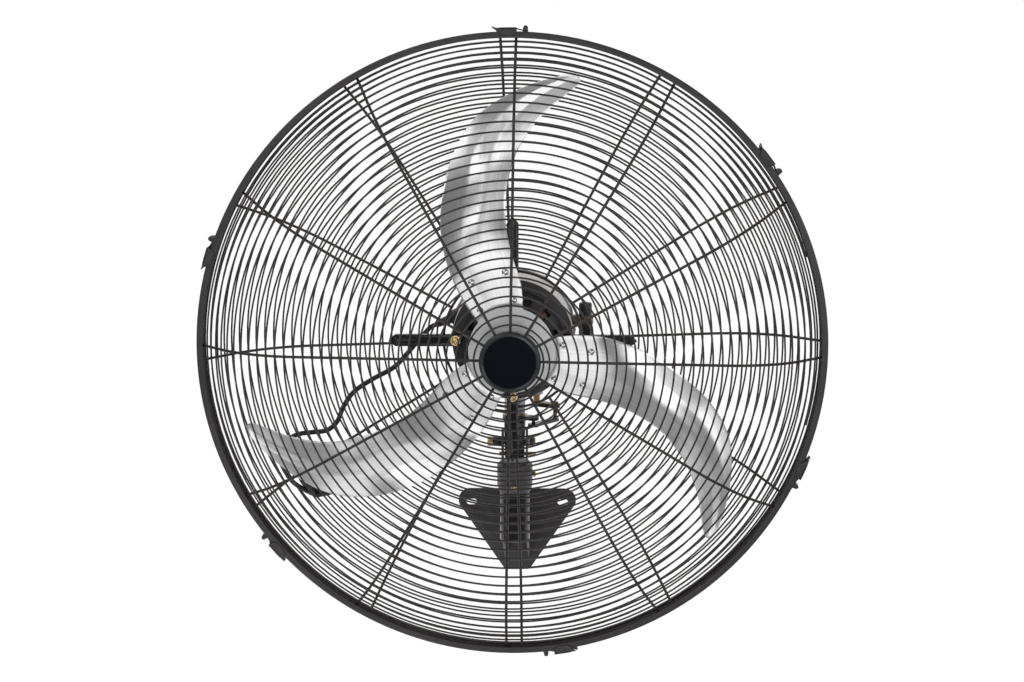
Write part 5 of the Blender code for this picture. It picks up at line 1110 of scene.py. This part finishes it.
def makeArms():
    half, start, end, point, soft, thick = pick(guardArm, "half start end point soft thick")
    wide, low, high, deep = pick(guardArm, "grooveHalf grooveStart grooveEnd grooveDeep")
    back = motor["flange"] - gap
    front, neck = back - thick, end - point
    plan = rounded([(-half, start), (half, start), (half, neck), (0, end), (-half, neck)], soft)
    groove = rounded(oblong(wide, wide, low, high), wide * 0.95, 5)
    bar = carved(prism(plan, front, back), prism(groove, front - beyond, front + deep))
    made = linked("bar", asMesh("bar", bar))
    made.data.materials.append(armCoat)
    soften(made, guardArm["edge"], 3)
    ready = made.data
    bpy.data.objects.remove(made)
    ringed("guard_bars", "head", "gloss_black", ready, armCoat, 4,
           takes=["guard_arm_" + side for side in ("top", "right", "bottom", "left")])
    heads = asMesh("heads", moved(phillips(), (0, front, guardArm["screwAt"])))
    ringed("guard_bar_screws", "head", "yellow_zinc", heads, yellowZinc, 4)


makeShield()
makeShell()
makeArms()
print("motor made")


# Front cap over the hub plate: a dished face inside a rounded bezel
cap = {"radius": 0.0382, "front": 0.0785, "bezel": 0.0046, "dish": 0.0012, "back": 0.0660, "wall": 0.0022,
       "under": 0.001, "overlap": 0.0002, "faceThick": 0.0035}


def makeCap():
    radius, soft, dish, back, wall, under, overlap, thick = pick(
        cap, "radius bezel dish back wall under overlap faceThick")
    front, inner, bore = -cap["front"], radius - soft * 1.25, radius - wall
    ring = [(inner, front + dish + under), (inner, front + dish)]
    ring += [(radius - soft * (0.5 + 0.62 * math.cos(turn)) - overlap,
              front + soft * 0.32 * (1 - math.sin(turn))) for turn in map(math.radians, (20, 50, 80))]
    ring += arc((radius - soft * 0.7, front + soft * 0.7), soft * 0.7, -85, 0, 7)
    ring += [(radius, -back), (bore, -back), (bore, front + soft * 0.9)]
    piece("cap_bezel", moved(lathe(ring), fanPlace), capBezel, "head", ("front_cap",),
          angle=50)
    edge = inner + overlap
    disc = [(0, front + dish * 0.55)]
    disc += [(inner * share, front + dish * (0.55 + 0.45 * share ** 2))
             for share in (0.2, 0.4, 0.6, 0.8, 0.93)]
    disc += [(edge, front + dish * 1.05), (edge, front + thick), (0, front + thick)]
    piece("cap_face", moved(lathe(disc), fanPlace), capFace, "head", angle=50)


makeCap()
print("cap made")


# Castings and small turned parts: the frame's own shape, merged, with softened edges
flatMerge = {"corners": 2e-5, "angle": math.radians(1)}
smallParts = {
    # node: (body, slot, finish, edge radius, smooth below this angle)
    "wall_plate": ("bracket", "charcoal_coat", plateCoat, 0.0012, 40),
    "bracket_arm": ("bracket", "charcoal_coat", plateCoat, 0.0008, 35),
    "post_tube": ("bracket", "charcoal_coat", postCoat, 0.0, 40),
    "clamp_sleeve": ("bracket", "charcoal_coat", castCoat, 0.0011, 40),
    "clamp_screw_front": ("bracket", "yellow_zinc", yellowZinc, 0.0004, 40),
    "clamp_screw_side": ("bracket", "yellow_zinc", yellowZinc, 0.0004, 40),
    "tilt_bolt": ("bracket", "yellow_zinc", yellowZinc, 0.0005, 40),
    "tilt_spacer": ("bracket", "gloss_black", armCoat, 0.0005, 40),
    "tilt_washer": ("bracket", "bare_steel", brightSteel, 0.0003, 40),
    "tilt_nut": ("bracket", "yellow_zinc", castCoat, 0.0005, 30),
    "neck_block": ("neck", "charcoal_coat", neckCoat, 0.0010, 40),
    "tilt_stop_screw": ("neck", "yellow_zinc", yellowZinc, 0.0003, 40),
    "gearbox_case": ("head", "cast_aluminium", castAlloy, 0.0010, 40),
    "gearbox_cover": ("head", "cast_aluminium", castAlloy, 0.0010, 40),
    "motor_rear_shield": ("head", "cast_aluminium", castAlloy, 0.0008, 42),
    "run_capacitor": ("head", "black_plastic", blackPlastic, 0.0008, 45),
    "capacitor_strap": ("head", "bare_steel", darkZinc, 0.0003, 40),
    "cord_tie": ("head", "gloss_black", blackPlastic, 0.0004, 40),
    "crank_arm": ("crank", "bare_steel", darkZinc, 0.0006, 40),
    "link_bar": ("link", "black_powder_coat", armCoat, 0.0006, 40),
    "clutch_knob": ("knob", "black_plastic", blackPlastic, 0.0008, 40),
}
# what lies inside keeps the frame's mesh and only takes a finish
innerParts = {
    sinteredBronze: ("thrust_washer", "worm_wheel"),
    brightSteel: ("bearing_front", "bearing_rear", "rotor_shaft"),
    coreSteel: ("stator_core", "rotor_core"),
    coilEnamel: ("winding_front", "winding_rear"),
}
knuckle = {"place": (0.0192, -0.170, 0.1385), "outline": (
    (0, -0.0178), (0.0030, -0.0178), (0.0036, -0.0170), (0.0044, -0.0168), (0.0044, 0.010), (0, 0.010))}


def makeSmallParts():
    for node, (body, slot, finish, edge, angle) in smallParts.items():
        shape = bmesh.new()
        shape.from_mesh(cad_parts[node].data)
        bmesh.ops.remove_doubles(shape, verts=shape.verts, dist=flatMerge["corners"])
        bmesh.ops.dissolve_limit(shape, angle_limit=flatMerge["angle"], verts=shape.verts, edges=shape.edges)
        piece(node + "_shape", shape, finish, body, (node,), edge, 3, angle)
    for finish, nodes in innerParts.items():
        for node in nodes:
            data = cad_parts[node].data
            data.materials.clear()
            data.materials.append(finish)


def makeKnuckles():
    # hinge knuckles at the sleeve's shoulders
    across, back, up = knuckle["place"]
    knuckles = [moved(lathe(knuckle["outline"], 32), (side * across, back, up)) for side in (-1, 1)]
    piece("sleeve_knuckles", together(knuckles), castCoat, "bracket", edge=0.0003)


makeSmallParts()
makeKnuckles()
print("small parts made")


# Room: a pale floor and wall, soft lamps
studio = {"wallGap": 0.003, "wallHalf": 4.5, "wallUp": 6.0, "floor": -1.6, "floorFront": -9.0,
          "world": 0.27, "wallGlow": 1.1, "glowShare": 0.85}
lamps = {
    # name: (across, up and away from the fan, side of the square, radiance)
    "right_box": (1.95, 0.1, 2.8, 1.0, 3.8),
    "upper_left_box": (-1.1, 0.9, 2.4, 1.2, 1.3),
    "high_left_box": (-1.7, 2.7, 2.2, 1.3, 2.6),
    "low_left_box": (-0.8, -1.4, 1.0, 0.9, 2.4),
    "front_box": (0.16, -0.22, 2.6, 0.85, 2.3),
}


def paper(name, darkest, ending=None):
    def paint(graph, where):
        fibre = graph.noise(where, 300, 3)
        cloud = graph.noise(where, 3, 2)
        return (graph.mix(cloud, [darkest] * 3, [darkest + 0.04] * 3),
                graph.ramp(fibre, 0.3, 0.7, 0.86, 0.96),
                graph.bump(fibre, 0.05, 0.0002))
    return finishOf(name, paint, ending, Specular_IOR_Level=0.1)


def whitened(graph, shader):
    # white to the camera and in shiny metal, plain paper to everything else, clear from behind
    camera = graph.node("ShaderNodeLightPath", out="Is Camera Ray")
    seen = camera + camera.other("Is Glossy Ray") + camera.other("Is Transmission Ray")
    light = graph.node("ShaderNodeEmission", None, {"Strength": studio["wallGlow"]})
    front = graph.node("ShaderNodeMixShader", None, (seen * studio["glowShare"], shader, light))
    behind = graph.node("ShaderNodeNewGeometry", out="Backfacing")
    return graph.node("ShaderNodeMixShader", None, (behind, front, graph.node("ShaderNodeBsdfTransparent")))


def sheet(name, corners, finish):
    mesh = bpy.data.meshes.new(name)
    mesh.from_pydata(corners, [], [range(len(corners))])
    mesh.materials.append(finish)
    return linked(name, mesh)


def makeWorld():
    world = bpy.data.worlds.new("room")
    world.use_nodes = True
    background = world.node_tree.nodes["Background"].inputs
    background["Color"].default_value = (1, 1, 1, 1)
    background["Strength"].default_value = studio["world"]
    bpy.context.scene.world = world


def makeLamps():
    for name, (across, up, away, size, glowing) in lamps.items():
        light = bpy.data.lights.new(name, "AREA")
        light.shape = "RECTANGLE"
        light.size = light.size_y = size
        light.energy = glowing * math.pi * size * size
        shift = Vector((across, -away, up))
        turn = (-shift).to_track_quat("-Z", "Y").to_matrix().to_4x4()
        linked(name, light).matrix_world = Matrix.Translation(fanPlace + shift) @ turn


def makeRoom():
    back, low, half, high, front = pick(studio, "wallGap floor wallHalf wallUp floorFront")
    left, right = (-half, back, low), (half, back, low)
    wall = sheet("back_wall", [left, right, (half, back, high), (-half, back, high)],
                 paper("white_wall", 0.90, whitened))
    floor = sheet("pale_floor", [(-half, front, low), (half, front, low), right, left],
                  paper("pale_floor", 0.84))
    wall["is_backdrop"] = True
    floor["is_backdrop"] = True


makeWorld()
makeRoom()
makeLamps()
bpy.context.scene.view_settings.view_transform = "Standard"
print("room made")

low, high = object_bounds()
{"cad": [list(cadBox[0]), list(cadBox[1])], "visual": [list(low), list(high)]}
